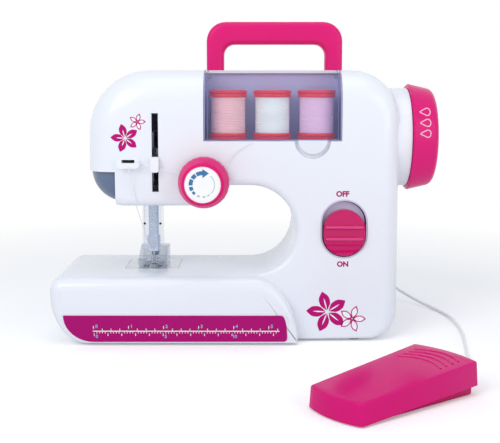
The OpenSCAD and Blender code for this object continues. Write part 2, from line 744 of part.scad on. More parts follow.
knob_gap = 3.2;
knob_back = front_y - knob_gap;
knob_front = knob_back - knob_len;
stud_tip = knob_front + 5;

module tension_stud() color(steel) {
    along_y(stud_tip, -inside_y + 4, stud_r, -knob_x, knob_z);
    along_y(-inside_y + 0.3, -inside_y + 2.3, stud_r + 2, -knob_x, knob_z);
    // Two dished discs that pinch the thread
    for (s = [0, 1]) translate([-knob_x, front_y - 0.3 - 1.5 * s, knob_z]) rotate([90, 0, 0]) difference() {
        cylinder(h = 1, r1 = disc_r - 1.2 * (1 - s), r2 = disc_r - 1.2 * s);
        translate([0, 0, -1]) cylinder(h = 3, r = stud_r + run_fit);
    }
}
disc_r = 12;

module tension_knob() color(pink) translate([-knob_x, knob_back, knob_z]) rotate([90, 0, 0]) difference() {
    rotate_extrude() polygon(concat(
        [[0, 0], [knob_r - 1.2, 0], [knob_r, 1.2], [knob_r - 0.4, 6]],
        arc_to([knob_front_r - 2, knob_len - 4], 2.6, 4, 20, 90, 6),
        [[dial_r + 0.4, knob_len], [dial_r + seat_gap, knob_len - 1.6], [0, knob_len - 1.6]]
    ));
    translate([0, 0, -1]) cylinder(h = knob_len - 4, r = stud_r + run_fit);
    for (a = [0:15:345]) rotate(a) translate([knob_r + 1.3, 0, -1]) cylinder(h = 6, r = 1.6);
}

module tension_dial() color("white") difference() {
    along_y(knob_front + 0.4, knob_front + 1.6, dial_r, -knob_x, knob_z);
    along_y(knob_front, knob_front + 0.8, 1.2, -knob_x, knob_z);
}

bezel_floor = front_y + 4.5;
button_x = switch_w - 2 * button_gap;
button_low = switch_z - switch_h / 2 + button_gap;
button_mid = button_low + button_h / 2;
button_out = 2.6;
stem_w = 6;
stem_h = 5;
stem_low = button_mid - stem_h / 2;
stem_high = button_mid + stem_h / 2;

module switch_bezel() color(white) difference() {
    union() {
        front_plate(front_y, bezel_floor + 1.4)
            upright_slot(switch_w + 2 * bezel_wall, switch_h + 2 * bezel_wall, switch_x, switch_z);
        front_plate(-inside_y + 0.3, bezel_floor + 1.4)
            upright_slot(switch_w + 8, switch_h + 8, switch_x, switch_z);
    }
    front_plate(front_y - 1, bezel_floor) upright_slot(switch_w, switch_h, switch_x, switch_z);
    box([switch_x - stem_w / 2 - move_gap, bezel_floor - 1, stem_low - move_gap],
        [switch_x + stem_w / 2 + move_gap, bezel_floor + 3, stem_high + button_travel + move_gap]);
}

button_face = front_y - button_out;

module switch_button() color("deeppink") difference() {
    union() {
        front_plate(button_face, bezel_floor - move_gap)
            upright_slot(button_x, button_h, switch_x, button_mid);
        // Two finger ridges across the middle band
        for (s = [-1, 1]) intersection() {
            along_x(switch_x - button_x / 2, switch_x + button_x / 2, 1.6, button_face, button_mid + 4.2 * s);
            front_plate(button_face - 3, front_y)
                upright_slot(button_x - 1.5, button_h - 1.5, switch_x, button_mid);
        }
        box([switch_x - stem_w / 2, bezel_floor - move_gap - 1, stem_low],
            [switch_x + stem_w / 2, bezel_floor + 5, stem_high]);
    }
    // Shallow finger hollows above and below the band
    for (s = [-1, 1])
        along_x(switch_x - button_x, switch_x + button_x, 14, button_face - 12.6, button_mid + 15.5 * s);
}

module slide_switch() color(grey) difference() {
    box([switch_x - 10, bezel_floor + 1.7, switch_z - 18], [switch_x + 10, bezel_floor + 12, switch_z + 18]);
    box([switch_x - stem_w / 2 - 1, bezel_floor, stem_low - 1],
        [switch_x + stem_w / 2 + 1, bezel_floor + 6, stem_high + button_travel + 1]);
}

// Hand wheel, shafts and gears

wheel_taper = 3;
wheel_round = 6;
wheel_face_r = wheel_r - wheel_taper - wheel_round;

module handwheel() color(pink) difference() {
    translate([wheel_x, 0, shaft_z]) rotate([0, 90, 0]) rotate_extrude() polygon(concat(
        [[0, 0], [wheel_r - 1.2, 0], [wheel_r, 1.2]],
        arc_to([wheel_face_r, wheel_w - wheel_round], wheel_round, wheel_round, 10, 90, 8),
        [[wheel_face_r - 2, wheel_w], [wheel_face_r - 4, wheel_w - 2], [9, wheel_w - 2],
            [8, wheel_w - 0.5], [0, wheel_w - 0.5]]
    ));
    along_x(wheel_x - 1, wheel_x + wheel_w - 4, shaft_r, 0, shaft_z);
}

module wheel_collar() color(white) difference() {
    along_x(collar_in + 0.3, column_x + collar_out, collar_r, 0, shaft_z);
    along_x(collar_in - 1, column_x + collar_out - 3, collar_r - collar_wall, 0, shaft_z);
    along_x(column_x, column_x + collar_out + 1, shaft_r + run_fit, 0, shaft_z);
    // Way of the belt out of the collar
    box([collar_in - 1, -pulley_r - belt_t - 2, shaft_z - collar_r - 1],
        [belt_x + belt_w + 3, pulley_r + belt_t + 2, shaft_z - collar_r + 12]);
}

module main_shaft() color(steel)
    along_x(crank_x, wheel_x + wheel_w - 4, shaft_r, 0, shaft_z);

module needle_crank() color(steel) difference() {
    union() {
        along_x(crank_x - crank_w, crank_x, crank_r + 4, 0, shaft_z);
        along_x(crank_x - 1, crank_x + 5, crank_hub_r, 0, shaft_z);
        along_x(crank_x - crank_w - 1.8, crank_x - 1, pin_r, 0, crank_pin_z);
    }
    along_x(crank_x, crank_x + 6, shaft_r, 0, shaft_z);
    along_x(crank_x - crank_w - 1, crank_x + 1, 4, 0, shaft_z + crank_hub_r + 4.6);
}

// Involute tooth form, pressure angle 25 degrees
pressure = 25;
function inv(a) = tan(a) * 180 / PI - a;
function tooth_half(z, r) = let (base = z * gear_m / 2 * cos(pressure))
    90 / z - 0.06 / (z * gear_m / 2) * 180 / PI + inv(pressure) - inv(r > base ? acos(base / r) : 0);
module gear_outline(z, turn) {
    pitch = z * gear_m / 2;
    root = pitch - 1.2 * gear_m;
    tip = pitch + 0.95 * gear_m;
    base = max(pitch * cos(pressure), root + 0.02);
    flank = [root, base, (base + pitch) / 2, pitch, (pitch + tip) / 2, tip];
    polygon([for (k = [0:z - 1], s = [-1, 1], i = [0:5])
        let (r = flank[s < 0 ? i : 5 - i], a = turn + 360 * k / z + s * tooth_half(z, r))
        [r * cos(a), r * sin(a)]]);
}

module main_gear() color("ivory") difference() {
    union() {
        side_plate(plane_1, plane_1 + gear_w) translate([0, shaft_z]) gear_outline(main_teeth, 0);
        along_x(plane_1 - 2, plane_1 + gear_w + 0.8, shaft_r + 2.5, 0, shaft_z);
    }
    along_x(plane_1 - 3, plane_1 + gear_w + 2, shaft_r, 0, shaft_z);
    for (a = [0:60:300]) translate([0, 0, shaft_z]) rotate([a, 0, 0])
        along_x(plane_1 - 3, plane_1 + gear_w + 2, 3.4, 0, 11.5);
}

module idler_gear() color("ivory") difference() {
    union() {
        side_plate(plane_1, plane_2 + 0.5)
            translate([0, idler_z]) gear_outline(pinion_teeth, 180 / pinion_teeth);
        side_plate(plane_2, plane_2 + gear_w) translate([0, idler_z]) gear_outline(idler_teeth, motor_turn);
    }
    along_x(plane_1 - 1, plane_2 + gear_w + 1, idler_pin_r + run_fit, 0, idler_z);
}

module motor_pinion() color("gold") {
    side_plate(plane_2, plane_2 + gear_w) difference() {
        translate([motor_y, motor_z]) gear_outline(pinion_teeth, motor_turn + 180 + 180 / pinion_teeth);
        translate([motor_y, motor_z]) circle(motor_shaft_r);
    }
    along_x(frame_a - 6, plane_2 + gear_w, motor_shaft_r, motor_y, motor_z);
}

module motor() color(steel) difference() {
    union() {
        along_x(frame_a - motor_len, frame_a - 0.1, motor_r, motor_y, motor_z);
        along_x(frame_a - motor_len - 3, frame_a - motor_len + 1, 3.5, motor_y, motor_z);
        for (s = [-1, 1]) box([frame_a - motor_len - 4, motor_y + 6 * s - 0.4, motor_z - 1.5],
            [frame_a - motor_len + 1, motor_y + 6 * s + 0.4, motor_z + 1.5]);
    }
    along_x(frame_a - 7, frame_a + 1, motor_shaft_r + run_fit, motor_y, motor_z);
}

frame_low = motor_z - motor_r - 3;
frame_high = shaft_z + 9;
post_r = 3;

module gear_frame() color("lightgray") difference() {
    union() {
        box([frame_a, -6, frame_low], [frame_a + frame_t, inside_y - 0.3, frame_high]);
        box([frame_b, -6, frame_low], [frame_b + frame_t, 29, frame_high]);
        for (p = [[26, frame_low + 4], [25, frame_high - 5], [-2.5, frame_low + 3.4]])
            along_x(frame_a + 1, frame_b + 1, post_r, p[0], p[1]);
        along_x(frame_a + 1, frame_b + 1, idler_pin_r, 0, idler_z);
        along_x(frame_a + frame_t - 1, plane_1 - 0.4, idler_pin_r + 2, 0, idler_z);
    }
    along_x(frame_a - 1, frame_b + frame_t + 1, shaft_r + run_fit, 0, shaft_z);
    along_x(frame_a - 1, frame_a + frame_t + 1, motor_shaft_r + 1.5, motor_y, motor_z);
}

module pulley(x, z, bore) difference() {
    translate([x, 0, z]) rotate([0, 90, 0]) rotate_extrude() polygon([
        [0, -0.6], [pulley_r + belt_t + 0.4, -0.6], [pulley_r, 0.3], [pulley_r, belt_w - 0.3],
        [pulley_r + belt_t + 0.4, belt_w + 0.6], [0, belt_w + 0.6]
    ]);
    along_x(x - 2, x + belt_w + 2, bore, 0, z);
}

module upper_pulley() color(grey) pulley(belt_x, shaft_z, shaft_r);
module lower_pulley() color(grey) pulley(belt_x, lower_z, lower_r);

module belt_outline(r) {
    for (z = [lower_z, shaft_z]) translate([0, z]) circle(r);
    translate([-r, lower_z]) square([2 * r, shaft_z - lower_z]);
}

belt_gap = 0.1;

module drive_belt() color("black") side_plate(belt_x + 1.2, belt_x + belt_w - 1.2) difference() {
    belt_outline(pulley_r + belt_gap + belt_t);
    belt_outline(pulley_r + belt_gap);
}

// Carriers of the shafts, on the rear shell's inner face
block_w = 6;
lower_blocks = [-30, 98];

module pillow_blocks() color("lightgray") {
    difference() {
        box([bush_x, -6, shaft_z - 8], [bush_x + block_w, inside_y - 0.3, shaft_z + 8]);
        along_x(bush_x - 1, bush_x + block_w + 1, shaft_r + run_fit, 0, shaft_z);
    }
    for (x = lower_blocks) difference() {
        box([x, -6, lower_z - 6], [x + block_w, inside_y - 0.3, lower_z + 6]);
        along_x(x - 1, x + block_w + 1, lower_r + run_fit, 0, lower_z);
    }
}

looper_x = needle_x + 4.5;

// The lower shaft carries an eccentric under the feed dog
module lower_shaft() color(steel) {
    along_x(-looper_x - 4, belt_x + belt_w + 4, lower_r, 0, lower_z);
    along_x(-needle_x + 10, -needle_x + 14, 5, 1.5, lower_z);
}

module looper() color(steel) difference() {
    union() {
        along_x(-looper_x - 4, -looper_x, lower_r + 3, 0, lower_z);
        side_plate(-looper_x - 3, -looper_x - 1) translate([0, lower_z]) difference() {
            circle(9);
            translate([2.5, 2.5]) circle(7.2);
        }
    }
    along_x(-looper_x - 5, -looper_x + 1, lower_r, 0, lower_z);
}

// Needle bar with its yoke, take up lever, clamp and needle

module needle_bar() color(grey) along_z(clamp_low + 2, shaft_z + 4, bar_r, -needle_x, 0);

module needle_yoke() color(steel) difference() {
    union() {
        box([yoke_x - yoke_w, -yoke_y, crank_pin_z - yoke_h / 2], [yoke_x, yoke_y, crank_pin_z + yoke_h / 2]);
        box([-needle_x - bar_r - 2.4, -6.5, crank_pin_z - yoke_h / 2],
            [yoke_x - yoke_w + 0.5, 6.5, crank_pin_z + yoke_h / 2]);
    }
    along_z(crank_pin_z - yoke_h, crank_pin_z + yoke_h, bar_r, -needle_x, 0);
    // Cross slot in front of the crank's pin
    box([yoke_x - 2, -crank_r - pin_r - 0.5, crank_pin_z - pin_r - move_gap],
        [yoke_x + 1, crank_r + pin_r + 0.5, crank_pin_z + pin_r + move_gap]);
}

lever_w = slot_w - 2 * move_gap - 0.3;
lever_head = [5.8, 11];

module take_up_lever() color(white) difference() {
    union() {
        box([-slot_x - lever_w / 2, front_y - 2, lever_z - 3.5],
            [-slot_x + lever_w / 2, -yoke_y, lever_z + 3.5]);
        front_plate(front_y - 5, front_y - move_gap - 0.2) translate([-slot_x, lever_z]) {
            square([lever_head[0], lever_head[1] - 3], center = true);
            square([lever_head[0] - 3, lever_head[1]], center = true);
            for (i = [-1, 1], j = [-1, 1])
                translate([i * (lever_head[0] - 3) / 2, j * (lever_head[1] - 3) / 2]) circle(1.5);
        }
    }
    along_x(-slot_x - 5, -slot_x + 5, 0.9, front_y - 3, lever_z - 2);
}

module needle_clamp() color(grey) difference() {
    union() {
        along_z(clamp_low, clamp_low + clamp_h, clamp_r, -needle_x, 0);
        along_y(-clamp_r - 2.2, 0, 1.9, -needle_x, clamp_low + 4);
    }
    along_z(clamp_low + 2, clamp_low + clamp_h + 1, bar_r, -needle_x, 0);
    along_z(clamp_low - 1, clamp_low + 3, needle_r, -needle_x, 0);
}

needle_tip = bed_top - 11;

module needle() color(steel) difference() {
    union() {
        along_z(needle_tip + 6, clamp_low + 2, needle_r, -needle_x, 0);
        translate([-needle_x, 0, needle_tip]) cylinder(h = 6, r1 = 0.15, r2 = needle_r);
    }
    along_y(-2, 2, 0.25, -needle_x, needle_tip + 8);
}

// Presser

shoe_front = -14;
shoe_back = presser_y + 6;

module presser_bar() color(steel) along_z(shoe_low + 5, shaft_z - 3, presser_r, -needle_x, presser_y);

// Clear shoe: sole with turned up toes, needle gap, two cheeks and a rear block on the bar
module presser_foot() color("lightcyan") difference() {
    union() {
        side_plate(-needle_x - shoe_w / 2, -needle_x + shoe_w / 2) polygon(concat(
            [[shoe_back, shoe_low], [shoe_back, shoe_low + sole_h]],
            [[shoe_front + 6, shoe_low + sole_h - 0.8]],
            [[shoe_front, shoe_low + 6.4], [shoe_front - 0.8, shoe_low + 4.6]],
            arc_to([shoe_front + 6, shoe_low + 8], 6.6, 8, 205, 270, 5)
        ));
        for (s = [-1, 1]) translate([-needle_x + s * (shoe_w / 2 - 1), 0, 0]) side_plate(-1, 1) polygon([
            [shoe_back, shoe_low + 2], [shoe_back, shoe_low + shoe_h], [shoe_back - 7, shoe_low + shoe_h],
            [shoe_front + 7, shoe_low + 6], [shoe_front + 6, shoe_low + 2]
        ]);
        box([-needle_x - shoe_w / 2 + 0.5, presser_y - 3, shoe_low + 2],
            [-needle_x + shoe_w / 2 - 0.5, shoe_back, shoe_low + shoe_h]);
    }
    box([-needle_x - 3.2, shoe_front - 3, shoe_low - 1], [-needle_x + 3.2, 4, shoe_low + 9]);
    along_z(shoe_low + 5, shoe_low + shoe_h + 1, presser_r, -needle_x, presser_y);
}

guard_t = 0.9;
guard_front = -9;

module finger_guard() color("lightcyan", 0.5) difference() {
    low = head_under - guard_h;
    half = guard_w / 2;
    box([-needle_x - half, guard_front, low], [-needle_x + half, 2, head_under - 0.1]);
    box([-needle_x - half + guard_t, guard_front + guard_t, low - 1],
        [-needle_x + half - guard_t, 3, head_under + 1]);
}

lifter_out = 4;
lifter_arm = 30;

module presser_lifter() color(pink) {
    along_y(presser_y + presser_r + 6, half_depth + 1, lifter_r, -needle_x, lifter_z);
    front_plate(half_depth + move_gap, half_depth + move_gap + lifter_out) difference() {
        translate([-needle_x, lifter_z]) {
            circle(7);
            rotate(-30) {
                translate([0, -4]) square([lifter_arm, 8]);
                translate([lifter_arm, 0]) circle(5.5);
            }
        }
        translate([-needle_x, lifter_z]) circle(lifter_r - 0.01);
    }
}

module head_guide() color("lightgray") difference() {
    box([-needle_x - 10, -10, head_under + wall + seat_gap],
        [-needle_x + 10, presser_y + 8, head_under + wall + 10]);
    along_z(head_under, head_under + wall + 12, bar_r + run_fit, -needle_x, 0);
    along_z(head_under, head_under + wall + 12, presser_r + run_fit, -needle_x, presser_y);
}

dog_w = 3;
dog_x = 5;
dog_travel = 1.5;

dog_half = 8;

module needle_plate() color(steel) difference() {
    box([-needle_x - plate_half[0], -plate_half[1], bed_top - plate_t],
        [-needle_x + plate_half[0], plate_half[1], bed_top]);
    along_z(bed_top - plate_t - 1, bed_top + 1, 2.2, -needle_x, 0);
    for (s = [-1, 1]) translate([-needle_x + s * dog_x, 0, bed_top])
        box([-dog_w / 2 - move_gap, -dog_half - dog_travel - move_gap, -plate_t - 1],
            [dog_w / 2 + move_gap, dog_half + dog_travel + move_gap, 1]);
}

module feed_dog() color(steel) difference() {
    union() {
        for (s = [-1, 1]) translate([-needle_x + s * dog_x, 0, bed_top])
            box([-dog_w / 2, -dog_half, -6], [dog_w / 2, dog_half, 0.2]);
        box([-needle_x - dog_x - dog_w / 2, dog_half - 3, bed_top - 6],
            [-needle_x + dog_x + dog_w / 2, dog_half, bed_top - plate_t - 0.5]);
    }
    // Saw teeth
    for (s = [-1, 1], i = [-4:3]) translate([-needle_x + s * dog_x, 2 * i + 1, bed_top + 0.9])
        rotate([45, 0, 0]) cube([dog_w + 1, 1.5, 1.5], center = true);
}

// Foot pedal. Its own frame has U along the pedal from the hinge end, turned on the floor.

pedal_spot = [65, -205];
pedal_turn = 38.6;
pedal_hinge = [7, 6.5];
pedal_pin_r = 2;
ear_v = pedal_front_w / 2 - 15;
ear_w = 5;
skirt_front = 0.6;
skirt_rear = treadle_rear_h - 15;
skirt_draft = 0.8;
base_front_h = 4;
base_rear_h = treadle_rear_h - 7;
base_gap = 0.6;
pedal_corner = 2.5;
pedal_bow = 3;
bow_turn = 16;
spring_u = 74;
spring_low = 3;
spring_r = 6;
spring_wire = 1.2;
cord_z = 4;
boot_r = 3.2;
pedal_slope = (treadle_rear_h - treadle_front_h) / pedal_len;

// Plan of the pedal, moved inwards, as a ring that starts beside the middle of the bowed front end
function pedal_plan(inset) = let (
    l = pedal_len - 2 * inset, f = pedal_front_w / 2 - inset, b = pedal_rear_w / 2 - inset,
    c = max(pedal_corner - inset, 0.6), steps = [1 / 6, 1 / 2, 5 / 6],
    half = concat(
        [for (t = steps) [pedal_bow * t * t, (c - f) * t]],
        arc_to([pedal_bow + c, c - f], c, c, 180 + bow_turn, 270, 4),
        arc_to([l - pedal_bow - c, c - b], c, c, 270, 360 - bow_turn, 4),
        [for (t = backwards(steps)) [l - pedal_bow * t * t, (c - b) * t]]))
    concat([for (q = half) q + [inset, 0]], [for (q = backwards(half)) [q[0] + inset, -q[1]]]);
function pedal_ring(inset, front_h, rear_h) =
    [for (q = pedal_plan(inset)) [q[0], q[1], front_h + (rear_h - front_h) * q[0] / pedal_len]];

module pedal_place() translate([pedal_spot[0], pedal_spot[1], 0]) rotate(pedal_turn) children();

module pedal_base() color("mediumvioletred") pedal_place() difference() {
    union() {
        skin([pedal_ring(treadle_wall + base_gap + 0.8, 0, 0), pedal_ring(treadle_wall + base_gap, 0.8, 0.8),
            pedal_ring(treadle_wall + base_gap, base_front_h, base_rear_h)]);
        // Two ears on the hinge pin
        for (s = [-1, 1]) front_plate(s * ear_v - ear_w / 2, s * ear_v + ear_w / 2) {
            translate(pedal_hinge) circle(pedal_pin_r + 1.2);
            translate([pedal_hinge[0] - pedal_pin_r - 1, 1])
                square([2 * pedal_pin_r + 2, pedal_hinge[1] - 1]);
        }
    }
    translate([pedal_hinge[0], 0, pedal_hinge[1]]) rotate([90, 0, 0])
        cylinder(h = pedal_front_w, r = pedal_pin_r + run_fit, center = true);
    // Seat of the return spring and the cord's way in
    translate([spring_u, 0, spring_low]) cylinder(h = 20, r = spring_r + 1.6);
    translate([pedal_len - 12, 0, cord_z]) rotate([0, 90, 0]) cylinder(h = 14, r = cord_d / 2 + 0.1);
}
// Hollow tread with drawn walls, bowed ends and a notch over the cord
module pedal_treadle() color(pink) pedal_place() {
    edge = 1.6;
    fillet = 1;
    notch_h = cord_z + boot_r + 5;
    difference() {
        skin(concat(
            [for (r = [fillet, 0]) pedal_ring(treadle_wall + r, treadle_front_h - treadle_wall - fillet + r,
                treadle_rear_h - treadle_wall - fillet + r)],
            [for (inset = [treadle_wall, 0]) pedal_ring(inset - skirt_draft, skirt_front, skirt_rear)],
            [for (a = [0:22.5:90]) pedal_ring(edge * (1 - cos(a)), treadle_front_h - edge + edge * sin(a),
                treadle_rear_h - edge + edge * sin(a))]
        ));
        box([pedal_len - 8, -boot_r - 1, -1], [pedal_len + 2, boot_r + 1, notch_h]);
    }
    // Toe ridges, and the hinge pin
    for (i = [0:3]) pedal_ridge(pedal_len * 0.78 + 5.4 * i);
    translate([pedal_hinge[0], 0, pedal_hinge[1]]) rotate([90, 0, 0])
        cylinder(h = pedal_front_w - 2 * treadle_wall + 1, r = pedal_pin_r, center = true);
}

// A low round ridge, bowed towards the rear end
module pedal_ridge(u) {
    route = [for (i = [-6:6]) let (v = i * 2.9, x = u - v * v / 52)
        [x, v, treadle_front_h + pedal_slope * x - 0.55]];
    skin(tube_rings(route, 1.2, 6));
}

module pedal_spring() color(steel) pedal_place() {
    turns = 5;
    high = treadle_front_h + pedal_slope * (spring_u - spring_r) - treadle_wall - spring_wire / 2 - seat_gap;
    low = spring_low + spring_wire / 2 + seat_gap;
    skin([for (k = [0:turns * 8]) let (a = 45 * k, z = low + (high - low) * k / (turns * 8))
        [for (s = [0:60:300]) let (q = spring_r + spring_wire / 2 * cos(s))
            [spring_u + q * cos(a), q * sin(a), z - spring_wire / 2 * sin(s)]]]);
}

// Pedal cord, from the plug behind the column along the floor to the pedal

cord_low = 1.3;
plug_len = 18;
boot_len = 12;
plug_end = half_depth + plug_len + boot_len;
pedal_dir = [cos(pedal_turn), sin(pedal_turn), 0];
pedal_rear = [pedal_spot[0], pedal_spot[1], cord_z] + (pedal_len - treadle_wall - base_gap) * pedal_dir;
cord_points = [
    [jack_x, plug_end + seat_gap, jack_z], [113, 84, 38], [120, 96, 31], [134, 98, 20], [150, 88, 9],
    [164, 70, 3], [174, 50, cord_low], [180, 26, cord_low], [181, 0, cord_low], [179, -28, cord_low],
    [175, -54, cord_low], [171, -78, cord_low], [168, -98, 1.7], [164, -114, 2.8],
    pedal_rear + 20 * pedal_dir, pedal_rear + (boot_len + seat_gap) * pedal_dir
];

module pedal_cord() color("white") skin(tube_rings(smooth_route(cord_points, 4), cord_d / 2, 8));

module boot(length, root_r) difference() {
    cylinder(h = length, r1 = root_r, r2 = cord_d / 2 + 0.6);
    for (i = [1:3]) translate([0, 0, length * i / 4])
        rotate_extrude() translate([root_r + (cord_d / 2 + 0.6 - root_r) * i / 4 + 0.2, 0]) circle(0.6);
}

module cord_ends() color("white") {
    translate([jack_x, half_depth, jack_z]) rotate([-90, 0, 0]) {
        cylinder(h = plug_len, r = 4.6);
        translate([0, 0, -8]) cylinder(h = 8, r = 1.75);
        translate([0, 0, plug_len]) boot(boot_len, boot_r + 0.6);
    }
    translate(pedal_rear) rotate([0, 90, pedal_turn]) boot(boot_len, boot_r);
}

module cord_jack() color(grey) difference() {
    along_y(half_depth - 12, half_depth - 0.2, jack_r, jack_x, jack_z);
    along_y(half_depth - 9, half_depth + 1, 1.75 + seat_gap, jack_x, jack_z);
}

// Sewing thread: from the spools past the tension discs, the take up lever and the guide to the needle

thread_r = 0.3;
disc_y = front_y - 1.6;
lever_eye = [-slot_x, front_y - 3, lever_z - 2];
guide_eye = [-guide_x, front_y - guide_out / 2 - 1.2, guide_z + 1.2];
needle_eye = [-needle_x, -needle_r - 0.5, needle_tip + 14];

module strand(points) skin(tube_rings(points, thread_r, 6));

module top_thread() color("white") {
    strand([[tab_x - 44, front_y - 0.7, lid_low - 1.5], [8, front_y - 0.9, 138],
        [disc_r - knob_x + 1, disc_y, knob_z + 6]]);
    strand([[-disc_r - knob_x - 1, disc_y, knob_z + 4], lever_eye + [lever_head[0] / 2 + 0.6, -0.6, -1]]);
    strand([lever_eye + [-lever_head[0] / 2 - 0.6, -0.6, 0.2], guide_eye + [guide_w / 2 - 2, -2.8, 0.6]]);
    strand([guide_eye + [0, -2.9, -3], [-guide_x + 3, front_y - 1.6, head_under + 12],
        [-guide_x + 5, front_y - 1.2, head_under + 1], [-needle_x - 4, -28, bed_top + 30],
        [-needle_x - 1.5, -12, bed_top + 11], needle_eye]);
}

front_shell();
rear_shell();
bed_cover();
ruler_strip();
battery_door();
rubber_feet();
carry_handle();
thread_tray();
thread_lid();
spool_left();
spool_middle();
spool_right();
thread_left();
thread_middle();
thread_right();
lamp_lens();
lamp_led();
thread_guide();
tension_knob();
tension_dial();
tension_stud();
switch_bezel();
switch_button();
slide_switch();
handwheel();
wheel_collar();
main_shaft();
pillow_blocks();
main_gear();
upper_pulley();
drive_belt();
lower_pulley();
lower_shaft();
looper();
needle_crank();
gear_frame();
idler_gear();
motor();
motor_pinion();
needle_bar();
needle_yoke();
take_up_lever();
needle_clamp();
needle();
presser_bar();
presser_foot();
finger_guard();
presser_lifter();
head_guide();
needle_plate();
feed_dog();
batteries();
shell_screws();
pedal_base();
pedal_treadle();
pedal_spring();
pedal_cord();
cord_ends();
cord_jack();
top_thread();
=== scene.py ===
# %% [markdown]
# This lesson dresses a toy sewing machine. Its measured solids are loaded first and stay where they
# are. Everything made below is laid on them, in metres, in the same frame, so nothing has to be fitted
# by eye. A second way would be to model the whole toy by hand, but then the gears, the hinge and the
# switch would no longer sit where the solids hold them.

import json
import math

import bpy
from mathutils import Matrix, Vector

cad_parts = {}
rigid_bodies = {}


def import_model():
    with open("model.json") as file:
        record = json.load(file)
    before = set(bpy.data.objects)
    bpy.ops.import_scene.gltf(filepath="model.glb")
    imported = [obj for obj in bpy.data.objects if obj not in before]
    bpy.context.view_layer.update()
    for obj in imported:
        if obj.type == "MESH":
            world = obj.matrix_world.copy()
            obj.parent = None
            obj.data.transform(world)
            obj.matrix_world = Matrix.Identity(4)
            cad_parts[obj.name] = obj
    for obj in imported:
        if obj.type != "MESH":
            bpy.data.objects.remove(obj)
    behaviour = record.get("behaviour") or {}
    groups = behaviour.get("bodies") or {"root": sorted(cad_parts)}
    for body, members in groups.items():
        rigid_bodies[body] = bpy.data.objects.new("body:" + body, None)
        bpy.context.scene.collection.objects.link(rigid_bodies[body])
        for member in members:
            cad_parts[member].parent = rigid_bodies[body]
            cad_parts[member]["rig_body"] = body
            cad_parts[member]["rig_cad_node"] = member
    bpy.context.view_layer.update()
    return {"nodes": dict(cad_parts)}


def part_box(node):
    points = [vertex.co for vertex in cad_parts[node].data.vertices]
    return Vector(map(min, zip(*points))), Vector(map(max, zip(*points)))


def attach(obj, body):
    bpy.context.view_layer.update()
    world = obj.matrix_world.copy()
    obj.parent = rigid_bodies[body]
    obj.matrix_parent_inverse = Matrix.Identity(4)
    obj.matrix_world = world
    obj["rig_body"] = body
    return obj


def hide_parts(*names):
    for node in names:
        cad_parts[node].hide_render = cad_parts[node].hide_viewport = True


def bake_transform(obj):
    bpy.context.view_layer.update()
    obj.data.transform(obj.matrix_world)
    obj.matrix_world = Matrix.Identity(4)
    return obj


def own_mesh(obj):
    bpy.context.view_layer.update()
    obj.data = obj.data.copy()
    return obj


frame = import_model()
MM = 0.001


def mm(*values):
    """A point given in millimetres, in metres."""
    return Vector([v * MM for v in values])


# %% [markdown]
# The camera stands where the photographer stood: a little above the table, square to the front. Its
# place was worked out from known points of the housing. A long lens keeps the sides nearly parallel. A
# small shift, and not a stronger tilt, brings the pedal into the frame.

# %% Camera
CAMERA_PLACE = (0.02078, -0.71431, 0.18767)
TILT_DOWN = 7.140  # degrees
TURN_LEFT = 0.0022  # radians
camera = bpy.data.objects.new("front_camera", bpy.data.cameras.new("front_camera"))
bpy.context.scene.collection.objects.link(camera)
camera.location = CAMERA_PLACE
camera.rotation_euler = (math.radians(90 - TILT_DOWN), 0, TURN_LEFT)
camera.data.lens = 67.337
camera.data.sensor_width = 36
camera.data.shift_y = -0.04
bpy.context.scene.camera = camera
bpy.context.scene.view_settings.view_transform = "Standard"
print("camera lens", camera.data.lens)

# %% [markdown]
# Every later step adds or picks one object and acts on it alone. The loaded solids come in selected, and
# an operator acts on all that is selected, so these helpers clear the selection first. That could be
# repeated in each cell, but a few short functions keep the cells readable.


# %% Picking, adding and opening one object
def pick(obj):
    """Leaves edit mode, clears the selection and selects obj alone."""
    if bpy.context.mode != "OBJECT":
        bpy.ops.object.mode_set(mode="OBJECT")
    bpy.ops.object.select_all(action="DESELECT")
    obj.select_set(True)
    bpy.context.view_layer.objects.active = obj


def add(operator, name, **settings):
    """Adds one primitive with nothing else selected, and names it."""
    bpy.ops.object.select_all(action="DESELECT")
    operator(**settings)
    obj = bpy.context.object
    obj.name = name
    return obj


def open_mesh():
    """Opens edit mode on the active object, with its whole mesh selected."""
    bpy.ops.object.mode_set(mode="EDIT")
    bpy.ops.mesh.select_all(action="SELECT")


def close_mesh():
    """Goes back from edit mode to object mode."""
    bpy.ops.object.mode_set(mode="OBJECT")


def apply_all(obj):
    """Applies the modifiers and puts the place into the mesh."""
    pick(obj)
    for modifier in list(obj.modifiers):
        bpy.ops.object.modifier_apply(modifier=modifier.name)
    bpy.ops.object.transform_apply(location=True, rotation=True, scale=True)


def smooth_below(degrees):
    """Shades the picked object smooth, apart from edges sharper than an angle."""
    bpy.ops.object.shade_smooth_by_angle(angle=math.radians(degrees))


print("helpers: pick, add, open_mesh, close_mesh, apply_all, smooth_below")

# %% [markdown]
# Colours are written as a screen shows them, from 0 to 255, and the shader wants them linear. The colour
# picker does that by hand for one colour, and a short function does it in the same way for all of them.


# %% Colours
def srgb(red, green, blue):
    """A colour read as 0 to 255, as the linear values that the shader wants."""
    shares = [value / 255 for value in (red, green, blue)]
    linear = [((c + 0.055) / 1.055) ** 2.4 if c > 10 / 255 else c / 12.92 for c in shares]
    return (*linear, 1)


def shaded(colour, part):
    """A darker tone of a linear colour."""
    return tuple(c * part for c in colour[:3]) + (1,)


def grey(value):
    """An even grey, for a ramp that drives a number."""
    return (value,) * 3 + (1,)


print("colour helpers: srgb, shaded, grey")

# %% [markdown]
# A finish is the colour, gloss and small-scale texture of a material. Moulded plastic is never quite
# even: its colour drifts a little and its skin has a faint orange peel. Both come from noise on Object
# coordinates, which stay with the piece when it moves. A flat colour would be simpler, but it looks
# like paper under a studio light.


